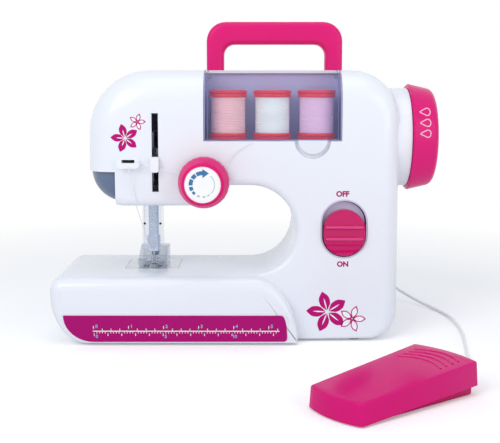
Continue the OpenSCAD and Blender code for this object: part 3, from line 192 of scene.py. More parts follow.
# %% Textures
def noise(tree, scale, detail=2.0, stretch=(1, 1, 1)):
    """A noise texture on the piece's own coordinates; scale counts features per metre."""
    coords = tree.nodes.new("ShaderNodeTexCoord")
    mapping = tree.nodes.new("ShaderNodeMapping")
    mapping.inputs["Scale"].default_value = stretch
    texture = tree.nodes.new("ShaderNodeTexNoise")
    texture.inputs["Scale"].default_value = scale
    texture.inputs["Detail"].default_value = detail
    tree.links.new(coords.outputs["Object"], mapping.inputs["Vector"])
    tree.links.new(mapping.outputs["Vector"], texture.inputs["Vector"])
    return texture.outputs["Fac"]


def two_tones(tree, factor, dark, light, low=0.35, high=0.65):
    """Fades from one tone to the other as the factor rises."""
    ramp = tree.nodes.new("ShaderNodeValToRGB")
    ramp.color_ramp.elements[0].position = low
    ramp.color_ramp.elements[0].color = dark
    ramp.color_ramp.elements[1].position = high
    ramp.color_ramp.elements[1].color = light
    tree.links.new(factor, ramp.inputs["Fac"])
    return ramp.outputs["Color"]


def skin_bump(tree, shader, factor, strength, depth):
    """Presses a texture into the surface, to a depth in metres."""
    bump = tree.nodes.new("ShaderNodeBump")
    bump.inputs["Strength"].default_value = strength
    bump.inputs["Distance"].default_value = depth
    tree.links.new(factor, bump.inputs["Height"])
    tree.links.new(bump.outputs["Normal"], shader.inputs["Normal"])


def finish(name):
    """A new material, with its node tree and its main shader."""
    material = bpy.data.materials.new(name)
    material.use_nodes = True
    return material, material.node_tree, material.node_tree.nodes["Principled BSDF"]


print("texture helpers: noise, two_tones, skin_bump, finish")

# %% [markdown]
# The housing, the handle, the wheel and the pedal are moulded plastic in white and pinks. One function
# makes them all, and only the colour, the gloss and the strength of the texture differ. A separate node
# tree for each colour would allow more, but the real parts come from the same kind of mould.


# %% Moulded plastic
def moulded(name, colour, rough, coat=0.0, drift=0.96, peel=0.12, alpha=1.0, shine=0.3):
    """Injection-moulded plastic with a slow colour drift, gloss that varies and a faint orange peel."""
    drift_scale, gloss_scale, peel_scale, peel_depth = 14, 60, 1600, 0.000005
    material, tree, shader = finish(name)
    light = srgb(*colour)
    tint = two_tones(tree, noise(tree, drift_scale), shaded(light, drift), light)
    tree.links.new(tint, shader.inputs["Base Color"])
    gloss = two_tones(tree, noise(tree, gloss_scale), grey(rough * 0.97), grey(rough * 1.03))
    tree.links.new(gloss, shader.inputs["Roughness"])
    shader.inputs["Coat Weight"].default_value = coat
    shader.inputs["Coat Roughness"].default_value = 0.08
    shader.inputs["Specular IOR Level"].default_value = shine
    shader.inputs["Alpha"].default_value = alpha
    skin_bump(tree, shader, noise(tree, peel_scale), peel, peel_depth)
    return material


casing_white = moulded("casing_white", (236, 240, 248), 0.26, coat=0.2, drift=0.99, shine=0.4)
detail_white = moulded("detail_white", (240, 243, 250), 0.3, coat=0.15, drift=0.98, shine=0.4)
bezel_lilac = moulded("bezel_lilac", (208, 206, 232), 0.3, coat=0.1, drift=0.97)
dial_white = moulded("dial_white", (250, 250, 250), 0.35, drift=0.98)
handle_pink = moulded("handle_pink", (224, 30, 118), 0.3, shine=0.15)
wheel_pink = moulded("wheel_pink", (222, 30, 120), 0.28, shine=0.15)
knob_pink = moulded("knob_pink", (228, 30, 120), 0.3, shine=0.06)
switch_pink = moulded("switch_pink", (202, 14, 100), 0.18, coat=0.25, shine=0.25)
ruler_magenta = moulded("ruler_magenta", (174, 10, 114), 0.35, shine=0.12)
pedal_pink = moulded("pedal_pink", (218, 26, 120), 0.2, shine=0.08)
pedal_rose = moulded("pedal_rose", (196, 24, 98), 0.36, shine=0.12)
print("plastics:", len(bpy.data.materials))

# %% [markdown]
# The window, the finger guard and the shoe are clear plastic. Real glass shaders bend the light, which
# is slow and dark in thin walls. A tinted surface with a low alpha shows what lies behind it and keeps
# its gloss, and it survives the export.

# %% Clear and smoked plastic
window_clear = moulded("window_clear", (168, 176, 226), 0.08, coat=0.3, peel=0.05, alpha=0.065)
guard_clear = moulded("guard_clear", (214, 226, 242), 0.06, coat=0.5, peel=0.05, alpha=0.24, shine=0.5)
shoe_clear = moulded("shoe_clear", (150, 174, 204), 0.05, coat=0.8, peel=0.03, alpha=0.34, shine=0.6)
lamp_smoke = moulded("lamp_smoke", (104, 122, 154), 0.1, coat=0.4, peel=0.05, alpha=0.86, shine=0.5)
tray_lavender = moulded("tray_lavender", (186, 188, 228), 0.4)
spool_red = moulded("spool_red", (226, 44, 58), 0.3, coat=0.1)
print("clear and tinted plastics ready")

# %% [markdown]
# The bars, screws and shafts are steel. Turned metal shows fine rings along its length, so its
# roughness and bump come from noise squeezed along one axis. Painted grey would be quicker and would
# not glint.


# %% Metals, rubber and nylon
def metal(name, colour, rough, stretch=(1, 1, 12)):
    """Drawn or turned metal with fine lines across the squeezed axis."""
    line_scale, line_depth = 260, 0.00001
    material, tree, shader = finish(name)
    light = srgb(*colour)
    lines = noise(tree, line_scale, 3, stretch)
    tree.links.new(two_tones(tree, lines, shaded(light, 0.93), light), shader.inputs["Base Color"])
    shader.inputs["Metallic"].default_value = 1
    gloss = two_tones(tree, lines, grey(rough * 0.8), grey(rough * 1.2))
    tree.links.new(gloss, shader.inputs["Roughness"])
    skin_bump(tree, shader, lines, 0.1, line_depth)
    return material


satin_steel = metal("satin_steel", (196, 201, 210), 0.26)
bar_grey = metal("bar_grey", (208, 218, 236), 0.3)
pinion_brass = metal("pinion_brass", (212, 172, 92), 0.3, (12, 1, 1))
foot_rubber = moulded("foot_rubber", (52, 52, 56), 0.75, peel=0.6)
gear_nylon = moulded("gear_nylon", (236, 230, 210), 0.5)
inner_grey = moulded("inner_grey", (188, 191, 198), 0.5)
fitting_grey = moulded("fitting_grey", (112, 126, 146), 0.4)
cell_jacket = moulded("cell_jacket", (190, 150, 58), 0.32, coat=0.3)
led_cream = moulded("led_cream", (250, 246, 226), 0.2, coat=0.4)
print("metals and inner plastics ready")

# %% [markdown]
# The solids arrive as loose triangles with flat shading. On a copy, the doubled corners are merged and
# edges flatter than a set angle are shaded smooth, so the moulded curves read as curves while real
# corners stay crisp. The solid itself is left alone and hidden, and the copy stands for it. Subdividing
# would also smooth it, but it would pull the parts away from their measured size.

# %% A smooth skin for a solid
MERGE = 0.000001
SKIN_ANGLE = 38


def own_copy(blank, name):
    """A copy of an object under a new name, with a mesh of its own."""
    obj = blank.copy()
    obj.data = blank.data.copy()
    obj.name = name
    bpy.context.scene.collection.objects.link(obj)
    return obj


def smooth_skin(node, material):
    """A merged, smooth-shaded copy of a solid, in its place and on its body."""
    solid = frame["nodes"][node]
    skin = own_copy(solid, node + "_skin")
    skin.parent = None
    del skin["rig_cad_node"]
    skin.matrix_world = Matrix.Identity(4)
    pick(skin)
    bpy.ops.mesh.customdata_custom_splitnormals_clear()
    open_mesh()
    bpy.ops.mesh.remove_doubles(threshold=2 * MERGE)
    close_mesh()
    smooth_below(SKIN_ANGLE)
    skin.data.materials.clear()
    skin.data.materials.append(material)
    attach(skin, solid["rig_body"])
    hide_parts(node)
    return skin


print("skins are smooth below", SKIN_ANGLE, "degrees")

# %% [markdown]
# Each solid gets the finish of the real part: white for the housing, pink for what the hand holds and
# turns, steel for shafts and bars. The finish could be set beside each skin, but one table shows at once
# which parts share it.

# %% A finish for each solid
FINISH_OF = {
    "front_shell rear_shell bed_cover wheel_collar": casing_white,
    "switch_bezel": bezel_lilac,
    "battery_door thread_guide take_up_lever cord_ends": detail_white,
    "tension_dial": dial_white,
    "carry_handle presser_lifter": handle_pink,
    "handwheel": wheel_pink,
    "tension_knob": knob_pink,
    "switch_button": switch_pink,
    "ruler_strip": ruler_magenta,
    "pedal_treadle": pedal_pink,
    "pedal_base": pedal_rose,
    "thread_lid": window_clear,
    "finger_guard": guard_clear,
    "presser_foot": shoe_clear,
    "lamp_lens": lamp_smoke,
    "lamp_led": led_cream,
    "thread_tray": tray_lavender,
    "spool_left spool_middle spool_right": spool_red,
    "tension_stud main_shaft lower_shaft looper needle_crank motor needle_yoke needle": satin_steel,
    "presser_bar needle_plate feed_dog shell_screws pedal_spring": satin_steel,
    "needle_bar needle_clamp": bar_grey,
    "slide_switch upper_pulley lower_pulley cord_jack": fitting_grey,
    "main_gear idler_gear": gear_nylon,
    "motor_pinion": pinion_brass,
    "pillow_blocks gear_frame head_guide": inner_grey,
    "rubber_feet drive_belt": foot_rubber,
    "batteries": cell_jacket,
}
skins = {}
for nodes, material in FINISH_OF.items():
    for node in nodes.split():
        skins[node] = smooth_skin(node, material)
print("skins:", len(skins))

# %% [markdown]
# The switch button is a thick moulded cap whose rim is visibly rounded, and light runs along that round.
# A Bevel on its sharp edges gives the round, and rounding the edges by hand would give the same with more
# steps. The two ridges are real, but their paler pink is a painted highlight: each is a glossy bar that
# stands for the light along its top, made from a cylinder with bevelled ends.

# %% The button's round rim and its ridges
SWITCH_X = 87.6
button = skins["switch_button"]
rim = button.modifiers.new("rim", "BEVEL")
rim.width = 1.3 * MM
rim.segments = 4
rim.limit_method = "ANGLE"
rim.angle_limit = math.radians(60)
apply_all(button)
smooth_below(50)
# paler pink: a painted highlight on the two ridges, whose bars are the real ridge shapes
ridge_highlight_pink = moulded("ridge_highlight_pink", (236, 62, 146), 0.2, coat=0.3, shine=0.4)
for side, z in (("upper", 85.1), ("lower", 76.7)):
    ridge = add(
        bpy.ops.mesh.primitive_cylinder_add, "switch_ridge_" + side, vertices=20, radius=0.95 * MM,
        depth=27 * MM, location=mm(SWITCH_X, -47.45, z), rotation=(0, math.radians(90), 0),
    )
    open_mesh()
    bpy.ops.mesh.bevel(offset=0.6 * MM, segments=3)
    close_mesh()
    apply_all(ridge)
    smooth_below(60)
    ridge.data.materials.append(ridge_highlight_pink)
    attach(ridge, "switch")
print("button faces:", len(button.data.polygons))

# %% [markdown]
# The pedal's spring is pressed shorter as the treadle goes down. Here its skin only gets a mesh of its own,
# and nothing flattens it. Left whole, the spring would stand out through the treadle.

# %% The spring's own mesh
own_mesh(skins["pedal_spring"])

# %% [markdown]
# A cord is a round section carried along a route. It could be a row of short cylinders, but a curve with
# a round bevel is the natural tool: its middle line is the cord's real route, so its length can be
# measured. The same tool serves for threads and thin beads further on.


# %% A cord along a route
def smooth_route(points, steps):
    """The points with a smooth line through them, as a list of closer points."""
    route = []
    last = len(points) - 1
    for i in range(last):
        a, b, c, d = (points[min(max(i + k, 0), last)] for k in (-1, 0, 1, 2))
        for k in range(steps):
            t = k / steps
            turn = (2 * a - 5 * b + 4 * c - d) * t * t + (3 * b - a - 3 * c + d) * t**3
            route.append(0.5 * (2 * b + (c - a) * t + turn))
    return route + [points[last]]


def tube(name, route, radius, material, sides=3):
    """A curve object of one round cord along a route."""
    curve = bpy.data.curves.new(name, "CURVE")
    curve.dimensions = "3D"
    curve.bevel_depth = radius
    curve.bevel_resolution = sides
    curve.use_fill_caps = True
    spline = curve.splines.new("POLY")
    spline.points.add(len(route) - 1)
    for point, place in zip(spline.points, route):
        point.co = (*place, 1)
    spline.use_smooth = True
    obj = bpy.data.objects.new(name, curve)
    bpy.context.scene.collection.objects.link(obj)
    curve.materials.append(material)
    return obj


print("cord helpers: smooth_route, tube")

# %% [markdown]
# The pedal's lead is a thin white flexible cord. It leaves the plug behind the column, falls to the
# table and lies in one loose bow to the back of the pedal. A simulation could let it fall, but a route of
# set points gives the same bow on every run.

# %% The pedal's lead
LEAD_DIAMETER = 2.4 * MM
LEAD = [
    (112, 74, 40), (113, 84, 38), (120, 96, 31), (134, 98, 20), (150, 88, 9), (164, 70, 3),
    (174, 50, 1.3), (180, 26, 1.3), (181, 0, 1.3), (179, -28, 1.3), (175, -54, 1.3), (171, -78, 1.3),
    (168, -98, 1.7), (164, -114, 2.8), (158.313, -130.508, 4), (152.061, -135.499, 4),
]
lead_white = moulded("lead_white", (244, 244, 246), 0.45, peel=0.4)
lead_route = smooth_route([mm(*p) for p in LEAD], 6)
pedal_lead = tube("pedal_lead", lead_route, LEAD_DIAMETER / 2, lead_white)
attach(pedal_lead, "machine")
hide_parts("pedal_cord")

# %% [markdown]
# The table is a plain pale sheet that runs far behind the toy. Close by it takes the soft shadow, and
# further out it fades to the white of the background, so that no horizon shows. A curved backdrop would
# hide the horizon too, but its bend would take a shade of its own.

# %% Table
FADE_START, FADE_END = 0.28, 0.6
SEEN_LIFT = 0.2
table = add(bpy.ops.mesh.primitive_plane_add, "table_sheet", size=40, location=(0, 0, -0.0002))
bpy.ops.object.transform_apply(location=True)
table_pale, tree, shader = finish("table_pale")
shader.inputs["Base Color"].default_value = (0.95, 0.95, 0.955, 1)
shader.inputs["Roughness"].default_value = 0.9
shader.inputs["Specular IOR Level"].default_value = 0.0
shader.inputs["Emission Color"].default_value = (1, 1, 1, 1)
sight = tree.nodes.new("ShaderNodeLightPath")
lift = tree.nodes.new("ShaderNodeMath")
lift.operation = "MULTIPLY"
lift.inputs[1].default_value = SEEN_LIFT
tree.links.new(sight.outputs["Is Camera Ray"], lift.inputs[0])
tree.links.new(lift.outputs["Value"], shader.inputs["Emission Strength"])
glow = tree.nodes.new("ShaderNodeEmission")
glow.inputs["Strength"].default_value = 1
coords = tree.nodes.new("ShaderNodeTexCoord")
reach = tree.nodes.new("ShaderNodeVectorMath")
reach.operation = "LENGTH"
fade = tree.nodes.new("ShaderNodeMapRange")
fade.inputs["From Min"].default_value = FADE_START
fade.inputs["From Max"].default_value = FADE_END
mix = tree.nodes.new("ShaderNodeMixShader")
tree.links.new(coords.outputs["Object"], reach.inputs[0])
tree.links.new(reach.outputs["Value"], fade.inputs["Value"])
tree.links.new(fade.outputs["Result"], mix.inputs["Fac"])
tree.links.new(shader.outputs["BSDF"], mix.inputs[1])
tree.links.new(glow.outputs["Emission"], mix.inputs[2])
tree.links.new(mix.outputs["Shader"], tree.nodes["Material Output"].inputs["Surface"])
table.data.materials.append(table_pale)
print("table fades from", FADE_START, "to", FADE_END, "m")

# %% [markdown]
# The world stands for the white room round the table. It is white where the camera, a reflection or a
# clear part sees it, and a mild bluish grey where it lights the toy. One white world would be simpler,
# but its light would wash out the shading of the white housing.

# %% World
world = bpy.data.worlds.new("studio")
bpy.context.scene.world = world
world.use_nodes = True
tree = world.node_tree
ambient = tree.nodes["Background"]
ambient.inputs["Color"].default_value = (0.88, 0.93, 1.0, 1)
ambient.inputs["Strength"].default_value = 0.52
white = tree.nodes.new("ShaderNodeBackground")
white.inputs["Color"].default_value = (1, 1, 1, 1)
path = tree.nodes.new("ShaderNodeLightPath")
seen = path.outputs["Is Camera Ray"]
for ray in ("Is Glossy Ray", "Is Transmission Ray"):
    either = tree.nodes.new("ShaderNodeMath")
    either.operation = "MAXIMUM"
    tree.links.new(seen, either.inputs[0])
    tree.links.new(path.outputs[ray], either.inputs[1])
    seen = either.outputs["Value"]
mix = tree.nodes.new("ShaderNodeMixShader")
tree.links.new(seen, mix.inputs["Fac"])
tree.links.new(ambient.outputs["Background"], mix.inputs[1])
tree.links.new(white.outputs["Background"], mix.inputs[2])
tree.links.new(mix.outputs["Shader"], tree.nodes["World Output"].inputs["Surface"])
print("world nodes:", len(tree.nodes))

# %% [markdown]
# Three large soft lamps stand like studio boxes: a key from the upper left, a weaker fill from the right
# and one from above for the arm's round edge. Small lamps would be easier to aim, but big ones give the
# long soft highlights that glossy plastic shows. Their power is kept low enough that the white housing
# keeps its shading.

# %% Studio lamps
LAMP_AIM = Vector((0.02, 0, 0.1))
LAMP_SIZE = 0.8


def soft_box(name, place, watts):
    """A square lamp at a place, turned to the toy's middle."""
    lamp = bpy.data.lights.new(name, "AREA")
    lamp.size = LAMP_SIZE
    lamp.energy = watts
    obj = bpy.data.objects.new(name, lamp)
    bpy.context.scene.collection.objects.link(obj)
    obj.location = place
    obj.rotation_euler = (LAMP_AIM - Vector(place)).to_track_quat("-Z", "Y").to_euler()


soft_box("key_box", (-0.7, -1.0, 0.9), 6.6)
soft_box("fill_box", (0.9, -0.9, 0.5), 3.0)
soft_box("top_box", (0.08, -0.25, 1.2), 2.4)
print("lamps:", len(bpy.data.lights))

# %% [markdown]
# Sewing thread is matt and shows fine fibres. A noise squeezed along one axis gives their shade and their
# bump, and a little sheen gives the soft edge of spun fibre. Plastic in the same colour would be simpler,
# but its highlights would make the thread look wet.


# %% Sewing thread
def spun(name, colour):
    """Matt sewing thread with fine fibres."""
    fibre_scale, fibre_depth = 1500, 0.00006
    material, tree, shader = finish(name)
    light = srgb(*colour)
    fibres = noise(tree, fibre_scale, 3, (1, 1, 3))
    tint = two_tones(tree, fibres, shaded(light, 0.9), light, 0.3, 0.7)
    tree.links.new(tint, shader.inputs["Base Color"])
    shader.inputs["Roughness"].default_value = 0.7
    shader.inputs["Sheen Weight"].default_value = 0.4
    skin_bump(tree, shader, fibres, 0.4, fibre_depth)
    return material


thread_rose = spun("thread_rose", (255, 208, 212))
thread_mint = spun("thread_mint", (246, 254, 254))
thread_lilac = spun("thread_lilac", (244, 208, 240))
print("threads: 3")

# %% [markdown]
# The three spools carry sewing thread, wound in close turns. Each winding is a soft core with one
# unbroken strand laid round it as a helix, so the light catches every turn through the window. A
# striped texture on a plain drum would be lighter, but its outline would stay straight.

# %% Windings on the spools
SPOOL_X = {"left": 3.25, "middle": 35.65, "right": 68.05}
SPOOL_Y = -25.5


def as_mesh(obj):
    """Turns a curve or a text into a mesh."""
    pick(obj)
    bpy.ops.object.convert(target="MESH")


def winding(name, x, material, body, node):
    """A core with a helix of thread round it, on one spool."""
    low, high, pitch, strand = 150.8, 180.2, 1.15, 0.62
    core_round, strand_round, points_in_turn = 11.75, 12, 28
    core = add(
        bpy.ops.mesh.primitive_cylinder_add, name, vertices=48, radius=core_round * MM,
        depth=(high - low) * MM, location=mm(x, SPOOL_Y, (high + low) / 2),
    )
    open_mesh()
    bpy.ops.mesh.bevel(offset=0.5 * MM, segments=2)
    close_mesh()
    turns = (high - low - 2 * strand) / pitch
    count = int(turns * points_in_turn)
    route = []
    for k in range(count + 1):
        a = 2 * math.pi * turns * k / count
        z = low + strand + pitch * turns * k / count
        route.append(mm(x + strand_round * math.cos(a), SPOOL_Y + strand_round * math.sin(a), z))
    as_mesh(tube(name + "_strand", route, strand * MM, material, sides=1))
    core.data.materials.append(material)
    core.select_set(True)
    bpy.context.view_layer.objects.active = core
    bpy.ops.object.join()
    apply_all(core)
    smooth_below(45)
    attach(core, body)
    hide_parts(node)
    return core


WOUND_THREAD = {
    "left": (thread_rose, "thread_pink"),
    "middle": (thread_mint, "thread_white"),
    "right": (thread_lilac, "thread_lilac"),
}
for side, (material, slot) in WOUND_THREAD.items():
    wound = winding("winding_" + side, SPOOL_X[side], material, side + "_spool", "thread_" + side)
    print(wound.name, len(wound.data.polygons), "faces")

# %% [markdown]
# The top thread runs from the lid past the tension discs and the take-up lever, through the guide loop
# and down to the needle. It is four short taut runs between the things that hold it, each a thin tube.
# The lever and the needle rise and fall, so the three runs that end on them are separate pieces. Their still
# and moving ends are listed, but each run is only fixed in place, not blended between them. One piece would
# be left behind there.

# %% The top thread
THREAD_RADIUS = 0.3 * MM
thread_white = spun("thread_white", (246, 246, 248))
KNOB_OUT, LEVER_IN = (-26.8, -45.6, 122), (-45.4, -47.6, 127.6)
LEVER_OUT, GUIDE_IN = (-52.4, -47.6, 128.8), (-61.5, -50.5, 133.4)
HEAD_EDGE, NEEDLE_EYE = (-62.8, -45.2, 101), (-55, -1.3, 52.5)
THREAD_RUNS = {  # the points of each run, then its still and its moving end
    "top_run": ([(20.4, -44.7, 146.1), (8, -44.9, 138), (-0.8, -45.6, 124)], None),
    "thread_to_lever": ([KNOB_OUT, LEVER_IN], (KNOB_OUT, LEVER_IN)),
    "thread_to_guide": ([LEVER_OUT, GUIDE_IN], (GUIDE_IN, LEVER_OUT)),
    "thread_to_needle": (
        [
            (-67.8, -50.6, 129.8), (-64.8, -45.6, 112), HEAD_EDGE,
            (-59, -28, 79.5), (-56.5, -12, 60.5), NEEDLE_EYE,
        ],
        (HEAD_EDGE, NEEDLE_EYE),
    ),
}
for name, (points, ends) in THREAD_RUNS.items():
    run = tube(name, smooth_route([mm(*p) for p in points], 8), THREAD_RADIUS, thread_white, sides=1)
    as_mesh(run)
    if ends is None:
        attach(run, "machine")
    else:
        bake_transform(run)
    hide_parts("top_thread")
print("top thread runs:", len(THREAD_RUNS))

# %% [markdown]
# Printing ink is a satin film whose cover is slightly uneven. Two noises give the cover and a fine grain.
# An even colour would do from afar, but it looks cut out in a close view.


# %% Inks
def ink(name, colour):
    """Printing ink: a satin film with slightly uneven cover."""
    cover_scale, grain_scale, grain_depth = 420, 2500, 0.00001
    material, tree, shader = finish(name)
    light = srgb(*colour)
    cover = two_tones(tree, noise(tree, cover_scale, 3), shaded(light, 0.9), light)
    tree.links.new(cover, shader.inputs["Base Color"])
    shader.inputs["Roughness"].default_value = 0.4
    shader.inputs["Specular IOR Level"].default_value = 0.15
    skin_bump(tree, shader, noise(tree, grain_scale), 0.1, grain_depth)
    return material


ink_magenta = ink("ink_magenta", (190, 6, 118))
ink_white = ink("ink_white", (248, 249, 252))
ink_blue = ink("ink_blue", (73, 126, 174))
ink_mist = ink("ink_mist", (176, 204, 208))
ink_cyan = ink("ink_cyan", (120, 200, 236))
ink_blush = ink("ink_blush", (252, 190, 218))
print("inks ready")

# %% [markdown]
# The printed ornaments are thin ink layers. Each starts flat, is stood up before the front, pressed on
# to the housing with a Shrinkwrap and given a hair of thickness with Solidify. A picture texture could
# do this on one side, but drawn shapes stay sharp at any distance.

# %% Laying the ink on
INK_LIFT, OVER_LIFT = 0.05, 0.12  # a first and a second layer of ink
INK_FILM = 0.06
BEFORE_SHELL, BEFORE_BED, BEFORE_DIAL = -52, -60, -70  # where a flat shape stands before it is pressed on


def lay_on(obj, carrier, lift, material, body="machine"):
    """Presses a flat shape on to a carrier along Y, thickens it and makes it ride."""
    press = obj.modifiers.new("press", "SHRINKWRAP")
    press.target = skins[carrier]
    press.wrap_method = "PROJECT"
    press.use_project_y = True
    press.wrap_mode = "ABOVE_SURFACE"
    press.offset = lift * MM
    film = obj.modifiers.new("film", "SOLIDIFY")
    film.thickness = INK_FILM * MM
    film.offset = 0
    apply_all(obj)
    obj.data.materials.clear()
    obj.data.materials.append(material)
    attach(obj, body)


def stand_up(obj, x, y, z, turn=0.0):
    """Turns a flat shape from the floor plane to the front and puts it in its place."""
    pick(obj)
    obj.rotation_euler = (math.radians(90), math.radians(-turn), 0)
    obj.location = mm(x, y, z)
    bpy.ops.object.transform_apply(location=True, rotation=True, scale=True)
    return obj


print("helpers: lay_on, stand_up")

# %% [markdown]
# A five-petalled flower is a common ornament. One petal is a disc drawn out to a leaf with two pointed
# ends, and Spin copies it round the middle, so the five petals are alike, which five drawn by hand would
# not be. An open flower is a larger magenta leaf with a smaller white leaf laid over it.

# %% Flowers
PETAL_PINCH = ((0.35, 0.95), (0.55, 0.9), (0.7, 0.86), (0.82, 0.76), (0.93, 0.5))


def choose(test):
    """In edit mode, selects the corners of the active mesh that pass a test."""
    obj = bpy.context.object
    bpy.ops.mesh.select_all(action="DESELECT")
    bpy.ops.object.mode_set(mode="OBJECT")
    for corner in obj.data.vertices:
        corner.select = test(corner.co)
    bpy.ops.object.mode_set(mode="EDIT")


def flower(name, x, z, inner, outer, width, turn, material, lift):
    """Five leaf-shaped petals between two radii, laid on the front shell."""
    petals = add(bpy.ops.mesh.primitive_circle_add, name, vertices=24, radius=1, fill_type="TRIFAN")
    half = (outer - inner) / 2 * MM
    open_mesh()
    bpy.ops.transform.resize(value=(half, width / 2 * MM, 1))
    for reach, pinch in PETAL_PINCH:
        choose(lambda co: abs(co.x) > reach * half)
        bpy.ops.transform.resize(value=(1.01, pinch, 1), center_override=(0, 0, 0))
    bpy.ops.mesh.select_all(action="SELECT")
    bpy.ops.mesh.subdivide(number_cuts=1)
    bpy.ops.transform.translate(value=((inner + outer) / 2 * MM, 0, 0))
    bpy.ops.mesh.spin(steps=5, dupli=True, angle=2 * math.pi, center=(0, 0, 0), axis=(0, 0, 1))
    bpy.ops.mesh.select_all(action="SELECT")
    bpy.ops.mesh.remove_doubles(threshold=MERGE)
    bpy.ops.mesh.normals_make_consistent(inside=False)
    close_mesh()
    lay_on(stand_up(petals, x, BEFORE_SHELL, z, turn), "front_shell", lift, material)


# x, z, inner radius, outer radius, width of a petal, turn
flower("head_flower", -70.3, 149.4, 1.0, 10.2, 5.4, 33, ink_magenta, INK_LIFT)
flower("head_flower_veins", -70.3, 149.4, 0.9, 6.0, 0.75, 33, ink_white, OVER_LIFT)
flower("head_bud", -61.4, 161.0, 0.3, 6.0, 3.1, 2, ink_magenta, INK_LIFT)
flower("head_bud_petals", -61.4, 161.0, 1.2, 5.0, 2.0, 2, ink_white, OVER_LIFT)
flower("column_flower", 76.0, 22.2, 1.6, 15.2, 8.0, 33, ink_magenta, INK_LIFT)
flower("column_flower_veins", 76.0, 22.2, 1.6, 10.4, 0.9, 33, ink_white, OVER_LIFT)
flower("column_bud", 94.2, 17.0, 0.5, 9.9, 4.9, 0, ink_magenta, INK_LIFT)
flower("column_bud_petals", 94.2, 17.0, 1.7, 8.7, 3.5, 0, ink_white, OVER_LIFT)
print("flowers: 4")

# %% [markdown]
# The switch has its two plain words above and below it. They could be drawn stroke by stroke, but Text
# objects give clean letters. They are turned into a mesh before they are stood up, so that the ink
# follows the housing like the flowers.

# %% Words at the switch
CAPITAL_SHARE = 0.69  # the height of a capital letter in a text of size 1


def lettering(name, words, height, x, y, z, heavy):
    """Words as a flat mesh, standing at the front, centred on a point."""
    text = add(bpy.ops.object.text_add, name)
    text.data.body = words
    text.data.size = height / CAPITAL_SHARE * MM
    text.data.offset = heavy * MM
    text.data.resolution_u = 4
    text.data.align_x = "CENTER"
    text.data.align_y = "CENTER"
    as_mesh(text)
    open_mesh()
    bpy.ops.mesh.remove_doubles(threshold=MERGE)
    close_mesh()
    return stand_up(text, x, y, z)


for name, words, height, x, z in (("word_off", "OFF", 3.7, 86.2, 109.0), ("word_on", "ON", 3.6, 86.8, 57.6)):
    word = lettering(name, words, height, x, BEFORE_SHELL, z, 0.24)
    lay_on(word, "front_shell", INK_LIFT, ink_magenta)
print("switch words ready")

# %% [markdown]
# The dial shows which way the tension grows: a ring of blue dashes that thins out behind an arrow head.
# Each dash is a short edge that Spin sweeps round the dial's axis. Cutting the dashes from a whole ring
# would take a Boolean for each gap.

# %% The dial's dashes
DIAL_X, DIAL_Z = -13.8, 118


def arc_dash(name, inner, outer, start, end):
    """A flat band between two radii; angles run clockwise from the top."""
    dash = add(bpy.ops.mesh.primitive_plane_add, name, size=1)
    open_mesh()
    choose(lambda co: co.x > 0)
    bpy.ops.mesh.delete(type="VERT")
    bpy.ops.mesh.select_all(action="SELECT")
    bpy.ops.transform.resize(value=(1, (outer - inner) * MM, 1))
    bpy.ops.transform.translate(value=(0.5, (inner + outer) / 2 * MM, 0))
    steps = max(2, round(abs(end - start) / 5))
    bpy.ops.mesh.spin(steps=steps, angle=math.radians(end - start), center=(0, 0, 0), axis=(0, 0, 1))
    bpy.ops.mesh.select_all(action="SELECT")
    bpy.ops.mesh.normals_make_consistent(inside=False)
    close_mesh()
    return stand_up(dash, DIAL_X, BEFORE_DIAL, DIAL_Z, -start)


DASHES = [  # inner radius, outer radius, first angle, last angle
    (6.9, 9.7, -30, 1), (6.9, 9.7, -58, -35), (6.9, 9.7, -92, -63),
    (7.0, 9.6, -118, -99), (7.4, 9.3, -140, -125),
]
PALE_DASHES = [(7.7, 9.1, -166, -154), (7.9, 9.0, -194, -180), (8.0, 8.8, -216, -202), (8.2, 8.7, -318, -222)]
for name, dashes, material in (("dial_dash_%d", DASHES, ink_blue), ("dial_fade_%d", PALE_DASHES, ink_mist)):
    for k, dash in enumerate(dashes):
        lay_on(arc_dash(name % k, *dash), "tension_dial", INK_LIFT, material, "tension")
print("dial dashes:", len(DASHES) + len(PALE_DASHES))

# %% [markdown]
# The arrow head ends the first dash and points along the ring. A circle with three corners is a triangle
# already, so its corners are only moved to their places. A letter from a font could show an arrow too,
# but it would not lie along the ring.

# %% The dial's arrow head
TIP_RADIUS, TIP_TURN = 9.3, math.radians(29)
arrow = add(bpy.ops.mesh.primitive_circle_add, "dial_arrow", vertices=3, radius=1, fill_type="NGON")
tip = (TIP_RADIUS * math.sin(TIP_TURN), TIP_RADIUS * math.cos(TIP_TURN))
for corner, place in zip(arrow.data.vertices, ((0, 11.2), (0, 4.8), tip)):
    corner.co = mm(*place, 0)
open_mesh()
bpy.ops.mesh.normals_make_consistent(inside=False)
close_mesh()
stand_up(arrow, DIAL_X, BEFORE_DIAL, DIAL_Z)
lay_on(arrow, "tension_dial", INK_LIFT, ink_blue, "tension")
print("arrow head faces:", len(arrow.data.polygons))

# %% [markdown]
# The ruler on the bed has inches above its line and centimetres below it. One tick is drawn and an Array
# repeats it at the measured step. Ticks set one by one could drift, and the Array keeps the scale exact.

# %% The ruler's lines and figures
INCH, CENTIMETRE = 25.3, 9.95  # as printed
INCH_ZERO, CENTIMETRE_ZERO = -93.6, -93.1


def ticks(name, x, z_low, z_high, width, step=1.0, count=1):
    """A row of upright strokes, or one long line, at the front of the ruler."""
    row = add(bpy.ops.mesh.primitive_plane_add, name, size=1)
    open_mesh()
    bpy.ops.transform.resize(value=(width * MM, (z_high - z_low) * MM, 1))
    close_mesh()
    repeat = row.modifiers.new("repeat", "ARRAY")
    repeat.use_relative_offset = False
    repeat.use_constant_offset = True
    repeat.constant_offset_displace = (step * MM, 0, 0)
    repeat.count = count
    apply_all(row)
    stand_up(row, x, BEFORE_BED, (z_low + z_high) / 2)
    lay_on(row, "ruler_strip", INK_LIFT, ink_white)


